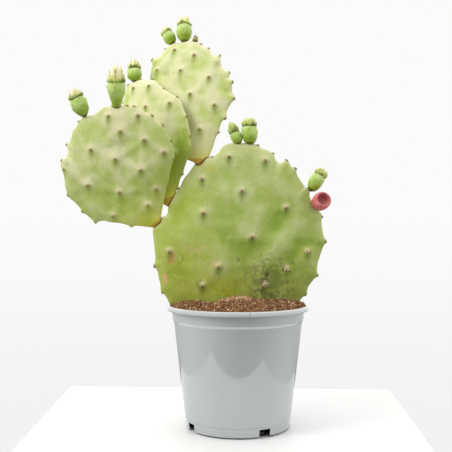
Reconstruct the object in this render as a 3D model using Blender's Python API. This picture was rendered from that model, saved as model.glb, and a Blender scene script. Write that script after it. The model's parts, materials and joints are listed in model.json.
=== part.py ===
"""Potted paddle cactus: four flat pads, eight flower buds and a ripe fruit in a nursery pot.

Metres, +Z up, the pot standing on z = 0 with its axis at the origin and the pads facing -Y.
"""

import math

import bmesh
import bpy
import numpy as np
from mathutils import Matrix, Vector

MM = 0.001
GAP = 0.35          # clearance between pieces that touch in life, mm

# ---------------------------------------------------------------- pot, mm
POT_HEIGHT = 162.0
RIM_RADIUS = 95.0
NECK_RADIUS = 88.4      # outside of the straight band under the rim
BODY_RADIUS = 85.6      # outside of the tapered body at its top
FOOT_RADIUS = 68.9      # outside at the table
WALL = 1.2
LIP_HEIGHT = 6.2
LIP_MOUTH = 92.6        # inside of the flared lip at its top
LIP_TURN = 154.5        # where the inside of the neck starts to flare
NECK_BOTTOM = 141.0
FOOT_LINE = 14.0
CHANNEL_RISE = 3.0      # height of the drainage channels under the floor
BOSS_RADIUS = 20.0
SLOT_COUNT = 4
SLOT_FIRST = -61.5      # bearing of the first drain slot from +X, degrees
SLOT_WIDTH = 16.0
SLOT_BOTTOM = 1.6
SLOT_TOP = 11.2
POT_SIDES = 56

# ---------------------------------------------------------------- soil, mm
SOIL_EDGE = 158.5       # height of the soil at the pot wall
SOIL_MOUND = 9.5        # how much higher it stands around the pad
# heaps and a hollow beside the pad: centre x and y, half width, half depth, height
SOIL_HEAPS = ((8.0, -8.0, 17.0, 9.0, 6.5), (58.0, -4.0, 30.0, 26.0, 2.0), (-36.0, -8.0, 12.0, 12.0, -4.5))
SOIL_SIDES = 48

# ---------------------------------------------------------------- pads, mm
AREOLE_RADIUS = 3.0
AREOLE_RISE = 1.5
PAD_RINGS = (0.30, 0.56, 0.76, 0.90, 0.975)
TWIST_LENGTH = 55.0     # the neck turns from its parent's plane within this length

# Each pad: where its neck sits, how it turns, its outline (x across, z along from the
# neck), and the areoles on its front face and around its rim.
PADS = {
    "pad_base": {
        "neck": (0.0, 0.0, 147.0),
        "roll": 0.0, "lean": 0.0, "yaw": 0.0,
        "thick": 23.0, "centre": (0.0, 100.0), "parent": None,
        "outline": [
            (-26, -46), (-62, -26), (-84, 7), (-91, 15), (-94, 21), (-98, 28), (-103, 34),
            (-104, 42), (-106, 50), (-108, 60), (-112, 68), (-111, 73), (-111, 81), (-112, 92),
            (-113, 101), (-114, 111), (-113, 119), (-108, 127), (-102, 132), (-97, 134), (-94, 138),
            (-93, 149), (-90, 155), (-86, 160), (-82, 165), (-78, 171), (-75, 178), (-72, 184),
            (-64, 194), (-57, 204), (-51, 208), (-44, 212), (-37, 211), (-32, 213), (-25, 220),
            (-20, 227), (-14, 230), (-7, 231), (4, 231), (13, 231), (21, 230), (27, 227), (32, 224),
            (39, 222), (44, 219), (48, 215), (50, 210), (54, 205), (58, 205), (62, 207), (67, 207),
            (70, 202), (73, 199), (77, 196), (79, 190), (82, 184), (86, 178), (90, 172), (94, 172),
            (96, 166), (96, 160), (99, 154), (103, 146), (107, 142), (111, 137), (112, 131),
            (112, 125), (113, 116), (115, 107), (117, 101), (116, 96), (113, 89), (110, 80),
            (107, 70), (106, 62), (106, 54), (102, 49), (98, 44), (94, 38), (92, 31), (87, 25),
            (83, 20), (74, 2), (50, -28), (14, -50),
        ],
        "face": [
            (-12, 212), (36, 207), (-48, 182), (5, 166), (64, 144), (-46, 137), (18, 105),
            (92, 85), (-91, 86), (-26, 66), (64, 62), (-47, 41), (36, 42),
        ],
        "rim": [
            (-111, 66), (-101, 32), (-78, 170), (-34, 211), (25, 226), (47, 216),
            (65, 206), (75, 196), (112, 132), (118, 100), (106, 54), (89, 30),
        ],
    },
    "pad_left": {
        "neck": (-108.0, -1.0, 271.5),
        "roll": -34.0, "lean": 14.0, "yaw": -8.0,
        "thick": 15.0, "centre": (-2.0, 92.0), "parent": "pad_base",
        "outline": [
            (-4, -9), (-8, -3), (-12, 1), (-20, 8), (-27, 14), (-32, 17), (-37, 23), (-44, 30),
            (-53, 37), (-60, 44), (-70, 48), (-72, 53), (-74, 62), (-76, 69), (-76, 76), (-77, 85),
            (-79, 95), (-77, 104), (-75, 110), (-70, 118), (-66, 125), (-63, 133), (-60, 139),
            (-54, 141), (-46, 142), (-40, 147), (-37, 153), (-32, 154), (-25, 158), (-19, 163),
            (-11, 165), (-2, 168), (5, 169), (11, 166), (18, 163), (26, 163), (35, 163), (42, 159),
            (55, 151), (63, 144), (67, 141), (72, 134), (75, 128), (80, 119), (81, 114), (83, 103),
            (84, 96), (83, 88), (81, 77), (76, 63), (70, 56), (58, 47), (47, 37), (36, 29),
            (27, 20), (20, 14), (9, 3), (4, -9),
        ],
        "face": [
            (35, 150), (67, 128), (37, 125), (56, 98), (-10, 129), (10, 100), (67, 70),
            (-60, 130), (29, 69), (-43, 94), (-13, 62), (28, 37), (6, 26), (-42, 41),
        ],
        "rim": [
            (-31, 15), (-70, 49), (-76, 70), (-80, 100), (-57, 144), (-36, 152),
            (-19, 164), (32, 163), (61, 143), (79, 116), (85, 93), (80, 77), (55, 46),
        ],
    },
    "pad_middle": {
        "neck": (-87.4, 2.0, 304.0),
        "roll": -14.0, "lean": -2.0, "yaw": -36.0,
        "thick": 15.0, "centre": (-10.0, 98.0), "parent": "pad_base",
        "outline": [
            (-8, -10), (-15, -3), (-24, 16), (-40, 38), (-54, 62), (-63, 88), (-67, 114),
            (-66, 138), (-59, 158), (-51, 172), (-44, 178), (-37, 180), (-28, 179), (-16, 176),
            (-4, 171), (4, 167), (10, 159), (17, 149), (24, 143), (30, 137), (38, 129), (42, 120),
            (44, 110), (46, 101), (47, 90), (47, 79), (46, 68), (45, 58), (40, 51), (33, 44),
            (26, 37), (22, 32), (15, 24), (10, 14), (6, 7), (3, -4), (0, -10),
        ],
        "face": [
            (-31, 168), (-3, 161), (-12, 133), (28, 125), (11, 99), (-38, 104),
            (20, 58), (-14, 64), (-30, 138),
        ],
        "rim": [
            (-47, 182), (-20, 178), (1, 169), (15, 150), (34, 130), (42, 100), (43, 74),
            (17, 32), (-40, 38), (-64, 92), (-67, 126), (-60, 158),
        ],
    },
    "pad_top": {
        "neck": (-52.0, 0.0, 354.5),
        "roll": -4.0, "lean": -14.0, "yaw": -24.0,
        "thick": 15.0, "centre": (-18.0, 100.0), "parent": "pad_base",
        "outline": [
            (-1, -10), (-5, -4), (-11, -1), (-17, 2), (-20, 12), (-28, 30), (-42, 54), (-60, 80),
            (-75, 108), (-83, 131), (-83, 142), (-82, 151), (-81, 162), (-76, 163), (-69, 166),
            (-64, 172), (-60, 176), (-56, 179), (-48, 182), (-39, 181), (-31, 181), (-23, 181),
            (-15, 179), (-9, 175), (-2, 169), (4, 165), (8, 162), (12, 155), (17, 151), (24, 150),
            (26, 141), (29, 132), (34, 127), (39, 122), (40, 114), (44, 109), (44, 103), (45, 94),
            (48, 86), (46, 80), (42, 74), (38, 67), (37, 58), (31, 52), (28, 45), (26, 39),
            (22, 32), (18, 19), (14, 8), (13, 2), (8, -10),
        ],
        "face": [
            (-42, 166), (-10, 152), (24, 140), (-69, 140), (-28, 130), (15, 114),
            (-11, 92), (24, 73), (3, 41), (-50, 100),
        ],
        "rim": [
            (-80, 161), (-62, 175), (-4, 174), (6, 163), (23, 149), (38, 122),
            (45, 108), (47, 83), (36, 56), (30, 36), (-46, 60), (-72, 100),
        ],
    },
}

# Each bud: the pad it grows on, where on its rim, its tilt in the pad's plane, its
# fattest radius, the length of its green body and of its closed petals.
BUDS = {
    "bud_left_outer": ("pad_left", (7, 169.5), 12.0, 11.0, 24.5, 16.5),
    "bud_left_crown": ("pad_left", (49, 153), 37.0, 12.2, 32.0, 27.0),
    "bud_middle": ("pad_middle", (-32, 180), 10.0, 10.2, 17.0, 18.5),
    "bud_top_outer": ("pad_top", (-50, 182), -31.0, 8.9, 18.5, 13.0),
    "bud_top_crown": ("pad_top", (-32, 182), -3.0, 11.2, 23.5, 22.0),
    "bud_base_slim": ("pad_base", (1, 231), -22.0, 7.8, 15.0, 18.0),
    "bud_base_crown": ("pad_base", (16, 231), -2.0, 10.8, 22.0, 15.0),
    "bud_base_right": ("pad_base", (98, 169), 32.0, 9.6, 22.0, 13.0),
}
BUD_SIDES = 16
BUD_ROOT = 3.5          # how far a bud's body runs into its pad before it is trimmed
PETAL_LOBES = 8

FRUIT_BASE = (106.0, -1.0, 295.5)
FRUIT_DIRECTION = (0.26, -0.91, 0.28)
FRUIT_RADIUS = 12.0
FRUIT_LENGTH = 23.5

SPROUT_PLACE = (-15.0, 178.0)
SPROUT_RADIUS = 3.4
SPROUT_LENGTH = 8.0

# (slot, colour, roughness)
FINISHES = {
    "pot": ("pot_plastic", (0.40, 0.43, 0.45), 0.38),
    "soil": ("potting_mix", (0.13, 0.07, 0.045), 0.95),
    "old_pad": ("old_pad_skin", (0.27, 0.38, 0.11), 0.50),
    "young_pad": ("young_pad_skin", (0.42, 0.52, 0.20), 0.50),
    "ovary": ("bud_skin", (0.24, 0.42, 0.10), 0.48),
    "petals": ("petal_skin", (0.74, 0.68, 0.36), 0.55),
    "fruit": ("fruit_skin", (0.30, 0.03, 0.05), 0.45),
}


def clear_file():
    for item in list(bpy.data.objects):
        bpy.data.objects.remove(item, do_unlink=True)


def material_for(kind):
    slot, colour, roughness = FINISHES[kind]
    found = bpy.data.materials.get(slot)
    if found:
        return found
    made = bpy.data.materials.new(slot)
    made.use_nodes = True
    shader = made.node_tree.nodes["Principled BSDF"]
    shader.inputs["Base Color"].default_value = (*colour, 1.0)
    shader.inputs["Roughness"].default_value = roughness
    shader.inputs["Metallic"].default_value = 0.0
    made.diffuse_color = (*colour, 1.0)
    return made


def object_from(name, bm, kind=None):
    """Put a finished mesh, drawn in millimetres, into the scene in metres."""
    bmesh.ops.recalc_face_normals(bm, faces=bm.faces)
    bmesh.ops.scale(bm, vec=(MM, MM, MM), verts=bm.verts)
    mesh = bpy.data.meshes.new(name)
    bm.to_mesh(mesh)
    bm.free()
    made = bpy.data.objects.new(name, mesh)
    bpy.context.scene.collection.objects.link(made)
    if kind:
        mesh.materials.append(material_for(kind))
        mesh.polygons.foreach_set("use_smooth", [True] * len(mesh.polygons))
        mesh.set_sharp_from_angle(angle=math.radians(38.0))
    else:
        made.hide_render = True
        made.display_type = "WIRE"
    return made


def combine(target, helper, operation):
    step = target.modifiers.new(operation.title() + " " + helper.name, "BOOLEAN")
    step.object = helper
    step.operation = operation
    step.solver = "EXACT"


def lathe(bm, profile, sides, shape=None):
    """Turn a profile of (radius, z) about Z; a zero radius closes the end with one point."""
    rings = []
    for radius, z in profile:
        if radius < 1e-6:
            rings.append([bm.verts.new((0.0, 0.0, z))])
            continue
        ring = []
        for i in range(sides):
            angle = 2.0 * math.pi * i / sides
            x = radius * math.cos(angle)
            y = radius * math.sin(angle)
            spot = (x, y, z) if shape is None else shape(radius, angle, z)
            ring.append(bm.verts.new(spot))
        rings.append(ring)
    for low, high in zip(rings, rings[1:]):
        for i in range(sides):
            j = (i + 1) % sides
            if len(low) == 1:
                bm.faces.new((low[0], high[j], high[i]))
            elif len(high) == 1:
                bm.faces.new((low[i], low[j], high[0]))
            else:
                bm.faces.new((low[i], low[j], high[j], high[i]))
    return rings


# ---------------------------------------------------------------- pot


def pot_inner_radius(z):
    """Inside radius of the tapered body, the neck band or the flared lip at a height."""
    if z < NECK_BOTTOM:
        share = z / NECK_BOTTOM
        return FOOT_RADIUS + (BODY_RADIUS - FOOT_RADIUS) * share - WALL
    if z < LIP_TURN:
        return NECK_RADIUS - 1.1 * (LIP_TURN - z) / (LIP_TURN - NECK_BOTTOM) - WALL
    flare = (z - LIP_TURN) / (POT_HEIGHT - LIP_TURN)
    return NECK_RADIUS - WALL + (LIP_MOUTH - NECK_RADIUS + WALL) * flare


def build_pot():
    lip_under = POT_HEIGHT - LIP_HEIGHT
    foot_step = FOOT_RADIUS + 1.35
    floor_top = CHANNEL_RISE + WALL
    profile = [
        (0.0, 0.0),
        (BOSS_RADIUS - 1.0, 0.0),
        (BOSS_RADIUS, CHANNEL_RISE),
        (FOOT_RADIUS - 5.5, CHANNEL_RISE),
        (FOOT_RADIUS - 4.5, 0.0),
        (FOOT_RADIUS - 0.8, 0.0),
        (FOOT_RADIUS, 0.8),
        (foot_step, FOOT_LINE - 0.5),
        (foot_step + 0.45, FOOT_LINE + 0.2),
        (BODY_RADIUS, NECK_BOTTOM - 0.4),
        (NECK_RADIUS - 1.1, NECK_BOTTOM + 1.8),
        (NECK_RADIUS, lip_under),
        (RIM_RADIUS - 1.0, lip_under),
        (RIM_RADIUS, lip_under + 1.0),
        (RIM_RADIUS, POT_HEIGHT - 1.0),
        (RIM_RADIUS - 0.7, POT_HEIGHT),
        (LIP_MOUTH, POT_HEIGHT),
        (pot_inner_radius(LIP_TURN), LIP_TURN),
        (pot_inner_radius(NECK_BOTTOM + 2.4), NECK_BOTTOM + 2.4),
        (pot_inner_radius(NECK_BOTTOM - 0.4), NECK_BOTTOM - 0.4),
        (pot_inner_radius(floor_top), floor_top),
        (0.0, floor_top),
    ]
    bm = bmesh.new()
    lathe(bm, profile, POT_SIDES)
    pot = object_from("pot", bm, "pot")

    bm = bmesh.new()
    height = SLOT_TOP - SLOT_BOTTOM
    for k in range(SLOT_COUNT):
        bearing = math.radians(SLOT_FIRST + 360.0 * k / SLOT_COUNT)
        place = Matrix.Rotation(bearing, 4, "Z") @ Matrix.Translation(
            (FOOT_RADIUS + 1.0, 0.0, SLOT_BOTTOM + height / 2.0)
        )
        size = Matrix.Diagonal((9.0, SLOT_WIDTH, height, 1.0))
        bmesh.ops.create_cube(bm, size=1.0, matrix=place @ size)
    slots = object_from("slot_cutters", bm)
    combine(pot, slots, "DIFFERENCE")
    return pot


# ---------------------------------------------------------------- soil


def soil_height(x, y):
    reach = pot_inner_radius(SOIL_EDGE)
    share = min(1.0, math.hypot(x, y) / reach)
    height = SOIL_EDGE + SOIL_MOUND * math.sqrt(1.0 - share**6)
    for heap_x, heap_y, wide, deep, rise in SOIL_HEAPS:
        height += rise * math.exp(-(((x - heap_x) / wide) ** 2) - (((y - heap_y) / deep) ** 2))
    lumps = 0.5 * math.sin(x * 0.21 + 0.7) * math.cos(y * 0.27 - 0.4)
    return height + lumps * (1.0 - share * share)


def build_soil():
    floor = CHANNEL_RISE + WALL + GAP
    wall_turn = NECK_BOTTOM - 0.4

    def on_surface(radius, angle, z):
        x = radius * math.cos(angle)
        y = radius * math.sin(angle)
        return (x, y, soil_height(x, y) if z >= SOIL_EDGE else z)

    top = pot_inner_radius(SOIL_EDGE) - GAP
    profile = [
        (0.0, floor),
        (pot_inner_radius(floor) - GAP, floor),
        (pot_inner_radius(wall_turn) - GAP, wall_turn),
        (pot_inner_radius(NECK_BOTTOM + 2.4) - GAP, NECK_BOTTOM + 2.4),
        (pot_inner_radius(LIP_TURN) - GAP, LIP_TURN),
    ]
    profile += [(top * share, SOIL_EDGE) for share in (1.0, 0.96, 0.88, 0.74, 0.58, 0.42, 0.28, 0.14)]
    bm = bmesh.new()
    rings = lathe(bm, profile, SOIL_SIDES, on_surface)
    peak = bm.verts.new((0.0, 0.0, soil_height(0.0, 0.0)))
    last = rings[-1]
    for i in range(SOIL_SIDES):
        bm.faces.new((last[i], last[(i + 1) % SOIL_SIDES], peak))
    return object_from("soil", bm, "soil")


# ---------------------------------------------------------------- pads


def smooth_outline(points, steps):
    """Closed Catmull-Rom curve through the points, with this many steps per span."""
    knots = np.array(points, dtype=float)
    before = np.roll(knots, 1, axis=0)
    after = np.roll(knots, -1, axis=0)
    beyond = np.roll(knots, -2, axis=0)
    curve = []
    for k in range(len(knots)):
        for s in range(steps):
            t = s / steps
            curve.append(
                0.5
                * (
                    2.0 * knots[k]
                    + (after[k] - before[k]) * t
                    + (2.0 * before[k] - 5.0 * knots[k] + 4.0 * after[k] - beyond[k]) * t**2
                    + (3.0 * knots[k] - before[k] - 3.0 * after[k] + beyond[k]) * t**3
                )
            )
    return np.array(curve)


def half_thickness(share, thick):
    """Half the pad's thickness at a share of the way from its centre to its rim."""
    return 0.5 * thick * math.sqrt(max(0.0, 1.0 - share**3.2))


def untwist(x, y, z, pad):
    """Turn the neck back into the parent's plane, easing into the pad's own plane."""
    if pad["parent"] is None:
        return (x, y, z)
    ease = min(1.0, max(0.0, z / TWIST_LENGTH))
    ease = ease * ease * (3.0 - 2.0 * ease)
    turn = -math.radians(pad["yaw"]) * (1.0 - ease)
    return (
        x * math.cos(turn) - y * math.sin(turn),
        x * math.sin(turn) + y * math.cos(turn),
        z,
    )


def pad_shell(bm, pad):
    """Both faces of a pad as rings running from the rim in to a single centre point."""
    outline = smooth_outline(pad["outline"], 2)
    centre = np.array(pad["centre"], dtype=float)

    def ring(share, side):
        rise = side * half_thickness(share, pad["thick"])
        spots = centre + (outline - centre) * share
        return [bm.verts.new(untwist(x, rise, z, pad)) for x, z in spots]

    rim = ring(1.0, 0.0)
    count = len(rim)
    for side in (-1.0, 1.0):
        outer = rim
        for share in reversed(PAD_RINGS):
            inner = ring(share, side)
            for i in range(count):
                j = (i + 1) % count
                bm.faces.new((outer[i], outer[j], inner[j], inner[i]))
            outer = inner
        middle = bm.verts.new((centre[0], side * half_thickness(0.0, pad["thick"]), centre[1]))
        for i in range(count):
            bm.faces.new((outer[i], outer[(i + 1) % count], middle))


def rim_share(x, z, pad):
    """How far a spot lies from the pad's centre, as a share of the way to its rim."""
    outline = smooth_outline(pad["outline"], 4) - np.array(pad["centre"], dtype=float)
    spot = np.array((x, z)) - np.array(pad["centre"], dtype=float)
    bearings = np.arctan2(outline[:, 1], outline[:, 0])
    order = np.argsort(bearings)
    reach = np.interp(
        math.atan2(spot[1], spot[0]),
        bearings[order],
        np.linalg.norm(outline, axis=1)[order],
        period=2.0 * math.pi,
    )
    return float(np.linalg.norm(spot) / reach)


def add_cushion(bm, spot, outward):
    """A low six-sided dome standing out of the skin, its foot sunk below the surface."""
    tilt = Vector(outward).normalized().to_track_quat("Z", "Y").to_matrix().to_4x4()
    place = Matrix.Translation(spot) @ tilt
    base = []
    cap = []
    for k in range(6):
        angle = math.pi * k / 3.0
        across = Vector((math.cos(angle), math.sin(angle), 0.0))
        base.append(bm.verts.new(place @ (across * AREOLE_RADIUS + Vector((0.0, 0.0, -1.6)))))
        cap.append(
            bm.verts.new(place @ (across * 1.7 + Vector((0.0, 0.0, AREOLE_RISE * 0.72))))
        )
    peak = bm.verts.new(place @ Vector((0.0, 0.0, AREOLE_RISE)))
    for k in range(6):
        j = (k + 1) % 6
        bm.faces.new((base[k], base[j], cap[j], cap[k]))
        bm.faces.new((cap[k], cap[j], peak))
    bm.faces.new(list(reversed(base)))


def pad_cushions(bm, pad):
    """Areoles on both faces and on the rim; the back face repeats the front's, mirrored."""
    for x, z in pad["face"]:
        for side, spot_x in ((-1.0, x), (1.0, 2.0 * pad["centre"][0] - x)):
            share = rim_share(spot_x, z, pad)
            if share > 0.93:
                continue
            if z < TWIST_LENGTH and pad["parent"]:
                continue
            rise = side * half_thickness(share, pad["thick"])
            slope = 0.10 + 0.9 * share**6
            lean_x = slope * (spot_x - pad["centre"][0]) / 80.0
            lean_z = slope * (z - pad["centre"][1]) / 80.0
            add_cushion(bm, (spot_x, rise, z), (lean_x, side, lean_z))
    centre = np.array(pad["centre"], dtype=float)
    for x, z in pad["rim"]:
        share = rim_share(x, z, pad)
        on_rim = centre + (np.array((x, z)) - centre) / share
        outward = on_rim - centre
        spot = untwist(on_rim[0], 0.0, on_rim[1], pad)
        aim = untwist(outward[0], 0.0, outward[1], pad)
        add_cushion(bm, spot, aim)


def place_pad(made, pad):
    made.location = Vector(pad["neck"]) * MM
    made.rotation_mode = "YXZ"
    made.rotation_euler = (
        math.radians(pad["lean"]),
        math.radians(pad["roll"]),
        math.radians(pad["yaw"]),
    )


def clearance_copy(name, pad):
    """The pad's shape grown by the joint gap, used to trim whatever grows on it."""
    bm = bmesh.new()
    pad_shell(bm, pad)
    bmesh.ops.recalc_face_normals(bm, faces=bm.faces)
    bm.normal_update()
    moved = [vert.co + vert.normal * GAP for vert in bm.verts]
    for vert, spot in zip(bm.verts, moved):
        vert.co = spot
    helper = object_from(name + "_clearance", bm)
    place_pad(helper, pad)
    return helper


def build_pads():
    pads = {}
    clearances = {}
    for name, pad in PADS.items():
        bm = bmesh.new()
        pad_shell(bm, pad)
        made = object_from(name, bm, "young_pad" if pad["parent"] else "old_pad")
        place_pad(made, pad)
        clearances[name] = clearance_copy(name, pad)
        bm = bmesh.new()
        pad_cushions(bm, pad)
        cushions = object_from(name + "_areoles", bm)
        place_pad(cushions, pad)
        combine(made, cushions, "UNION")
        if pad["parent"]:
            combine(made, clearances[pad["parent"]], "DIFFERENCE")
        pads[name] = made
    return pads, clearances


# ---------------------------------------------------------------- buds and fruit


def ovary_profile(radius, length):
    """Narrow foot, full shoulders and a flat crown, from inside the pad to the crown."""
    shape = [(0.24, -0.2), (0.42, 0.0), (0.68, 0.14), (0.90, 0.38), (1.0, 0.68), (0.93, 0.93)]
    profile = [(0.0, -BUD_ROOT)]
    for share, along in shape:
        profile.append((radius * share, length * along if along >= 0.0 else -BUD_ROOT))
    profile.append((radius * 0.80, length))
    profile.append((0.0, length))
    return profile


def build_bud(name, spec, pads, clearances):
    parent, (x, z), tilt, radius, body, petals = spec
    bm = bmesh.new()
    lathe(bm, ovary_profile(radius, body), BUD_SIDES)
    ovary = object_from(name + "_ovary", bm, "ovary")

    def lobed(reach, angle, height):
        fold = 1.0 + 0.09 * math.cos(PETAL_LOBES * angle + height * 0.12)
        return (reach * fold * math.cos(angle), reach * fold * math.sin(angle), height)

    foot = body + GAP
    bm = bmesh.new()
    petal_shape = [(0.62, 0.0), (0.76, 0.16), (0.66, 0.45), (0.40, 0.75), (0.12, 0.95)]
    profile = [(0.0, foot)]
    profile += [(radius * share, foot + petals * along) for share, along in petal_shape]
    profile.append((0.0, foot + petals))
    lathe(bm, profile, PETAL_LOBES * 2, lobed)
    cone = object_from(name + "_petals", bm, "petals")
    for piece in (ovary, cone):
        piece.parent = pads[parent]
        piece.location = Vector((x, 0.0, z)) * MM
        piece.rotation_euler = (0.0, math.radians(tilt), 0.0)
    combine(ovary, clearances[parent], "DIFFERENCE")


def build_fruit(clearances):
    """A ripe fruit: a barrel with a dished crown, growing from behind the base pad's rim."""
    shape = [(0.42, 0.0), (0.74, 0.14), (0.96, 0.36), (1.0, 0.60), (0.86, 0.86), (0.66, 0.97)]
    profile = [(0.0, -BUD_ROOT), (FRUIT_RADIUS * 0.34, -BUD_ROOT)]
    profile += [(FRUIT_RADIUS * share, FRUIT_LENGTH * along) for share, along in shape]
    profile += [(FRUIT_RADIUS * 0.46, FRUIT_LENGTH), (FRUIT_RADIUS * 0.30, FRUIT_LENGTH * 0.95)]
    profile.append((0.0, FRUIT_LENGTH * 0.93))
    bm = bmesh.new()
    lathe(bm, profile, 22)
    fruit = object_from("red_fruit", bm, "fruit")
    fruit.location = Vector(FRUIT_BASE) * MM
    fruit.rotation_mode = "QUATERNION"
    fruit.rotation_quaternion = Vector(FRUIT_DIRECTION).to_track_quat("Z", "Y")
    combine(fruit, clearances["pad_base"], "DIFFERENCE")


def build_sprout(pads, clearances):
    """A bud that has only just broken from the top pad's rim."""
    profile = [(0.0, -3.0), (SPROUT_RADIUS * 0.7, -3.0)]
    profile += [
        (SPROUT_RADIUS, SPROUT_LENGTH * 0.3),
        (SPROUT_RADIUS * 0.8, SPROUT_LENGTH * 0.65),
        (SPROUT_RADIUS * 0.35, SPROUT_LENGTH * 0.92),
        (0.0, SPROUT_LENGTH),
    ]
    bm = bmesh.new()
    lathe(bm, profile, 12)
    sprout = object_from("bud_sprout", bm, "ovary")
    sprout.parent = pads["pad_top"]
    sprout.location = Vector((SPROUT_PLACE[0], 0.0, SPROUT_PLACE[1])) * MM
    sprout.rotation_euler = (0.0, math.radians(8.0), 0.0)
    combine(sprout, clearances["pad_top"], "DIFFERENCE")


clear_file()
build_pot()
soil = build_soil()
pads, clearances = build_pads()
combine(soil, clearances["pad_base"], "DIFFERENCE")
for bud_name, bud_spec in BUDS.items():
    build_bud(bud_name, bud_spec, pads, clearances)
build_fruit(clearances)
build_sprout(pads, clearances)
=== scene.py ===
# %% [markdown]
# # A potted paddle cactus
# The real thing is a flat-stemmed cactus in a plain moulded nursery pot. One broad old pad
# stands in the soil, three younger pads grow from its rim, and closed flower buds and one
# ripe fruit sit on the rims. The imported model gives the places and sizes; this file gives
# every piece its finished shape and skin. We start by loading that frame.

# %% Load the frame
import json
import math

import bpy
import numpy as np
from mathutils import Matrix, Vector
from mathutils.bvhtree import BVHTree

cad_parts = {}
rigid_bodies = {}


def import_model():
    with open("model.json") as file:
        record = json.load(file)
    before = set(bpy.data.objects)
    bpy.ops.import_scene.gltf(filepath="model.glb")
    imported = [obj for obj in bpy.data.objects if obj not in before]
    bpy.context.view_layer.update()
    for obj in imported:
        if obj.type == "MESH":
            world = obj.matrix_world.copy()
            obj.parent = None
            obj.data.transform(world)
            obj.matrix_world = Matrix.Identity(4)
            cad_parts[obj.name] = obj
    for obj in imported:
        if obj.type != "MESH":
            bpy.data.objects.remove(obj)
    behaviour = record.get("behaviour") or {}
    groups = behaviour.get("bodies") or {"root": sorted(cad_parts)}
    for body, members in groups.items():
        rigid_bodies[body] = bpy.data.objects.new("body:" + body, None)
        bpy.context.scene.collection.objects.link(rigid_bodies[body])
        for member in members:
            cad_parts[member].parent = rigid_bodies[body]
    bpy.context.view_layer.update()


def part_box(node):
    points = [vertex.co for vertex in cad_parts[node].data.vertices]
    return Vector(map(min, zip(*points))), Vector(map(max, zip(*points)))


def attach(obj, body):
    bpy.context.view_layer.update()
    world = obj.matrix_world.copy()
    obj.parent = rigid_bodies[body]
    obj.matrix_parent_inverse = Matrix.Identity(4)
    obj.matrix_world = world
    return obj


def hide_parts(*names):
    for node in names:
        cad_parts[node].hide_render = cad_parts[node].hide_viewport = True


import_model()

MM = 0.001

# %% [markdown]
# ## The view
# The camera is level and about a metre away, a little above the pot's rim, so we look
# slightly down into the soil and straight at the pads. A level camera keeps the pot's sides
# free of keystone. Its height is counted from the rim, because that is the edge the eye
# reads first.

# %% Place the camera
pot_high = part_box("pot")[1]
pot_height = pot_high[2]
rim_radius = pot_high[0]
CAMERA_DISTANCE = 1.004
CAMERA_OVER_RIM = 0.105
CAMERA_ASIDE = -0.016
LENS_MM = 59.7
SENSOR_MM = 36.0

lens = bpy.data.cameras.new("view")
lens.lens = LENS_MM
lens.sensor_width = SENSOR_MM
camera = bpy.data.objects.new("view", lens)
camera.location = (CAMERA_ASIDE, -CAMERA_DISTANCE, pot_height + CAMERA_OVER_RIM)
camera.rotation_euler = (math.radians(90.0), 0.0, 0.0)
bpy.context.scene.collection.objects.link(camera)
bpy.context.scene.camera = camera
bpy.context.scene.view_settings.view_transform = "Standard"
print("camera height", round(camera.location.z, 3))

# %% [markdown]
# ## Small helpers for shader nodes
# Every finish below is a handful of nodes. One helper adds a node, sets its options and
# either links or fills its inputs, so that a material reads as a list of what feeds what.

# %% Node helpers
def node(tree, kind, inputs=None, **options):
    """Add a shader node; an input given as a socket is linked, anything else is its value."""
    made = tree.nodes.new("ShaderNode" + kind)
    for key, value in options.items():
        setattr(made, key, value)
    for key, value in (inputs or {}).items():
        if isinstance(value, bpy.types.NodeSocket):
            tree.links.new(value, made.inputs[key])
        else:
            made.inputs[key].default_value = value
    return made


def blend(tree, share, first, second, mode="MIX"):
    """Mix two colours by a share, and hand back the colour socket."""
    made = node(tree, "Mix", data_type="RGBA", blend_type=mode)
    for socket, value in zip((made.inputs[0], made.inputs[6], made.inputs[7]), (share, first, second)):
        if isinstance(value, bpy.types.NodeSocket):
            tree.links.new(value, socket)
        elif isinstance(value, tuple):
            socket.default_value = (*value, 1.0)
        else:
            socket.default_value = value
    return made.outputs[2]


def sums(tree, kind, *values):
    """A Math node: kind is its operation, values are sockets or numbers."""
    made = node(tree, "Math", operation=kind)
    for socket, value in zip(made.inputs, values):
        if isinstance(value, bpy.types.NodeSocket):
            tree.links.new(value, socket)
        else:
            socket.default_value = value
    return made.outputs[0]


def times(tree, first, second):
    """The product of two sockets or numbers, such as a mask and its strength."""
    return sums(tree, "MULTIPLY", first, second)


def spread(tree, value, low, high, to_low=0.0, to_high=1.0):
    """Stretch the range low..high of a value to to_low..to_high, with soft ends."""
    made = node(
        tree,
        "MapRange",
        {"Value": value, "From Min": low, "From Max": high, "To Min": to_low, "To Max": to_high},
        interpolation_type="SMOOTHSTEP",
    )
    return made.outputs["Result"]


def mask(tree, name):
    """The value of a mask that was painted on the mesh's points."""
    return node(tree, "Attribute", attribute_name=name).outputs["Fac"]


def noise(tree, place, scale, detail, **more):
    """The value of a noise texture; other inputs go by their own names."""
    inputs = {"Vector": place, "Scale": scale, "Detail": detail, **more}
    return node(tree, "TexNoise", inputs).outputs["Fac"]


def emboss(tree, shader, height, strength, depth):
    """Give the surface a fine relief, with its depth in metres."""
    relief = node(tree, "Bump", {"Strength": strength, "Distance": depth, "Height": height})
    tree.links.new(relief.outputs["Normal"], shader.inputs["Normal"])


def new_finish(name, rough, specular=0.5):
    """An empty material with its Principled shader, ready for nodes."""
    made = bpy.data.materials.new(name)
    made.use_nodes = True
    shader = made.node_tree.nodes["Principled BSDF"]
    shader.inputs["Roughness"].default_value = rough
    shader.inputs["Specular IOR Level"].default_value = specular
    return made, made.node_tree, shader


print("materials so far:", len(bpy.data.materials))

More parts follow.
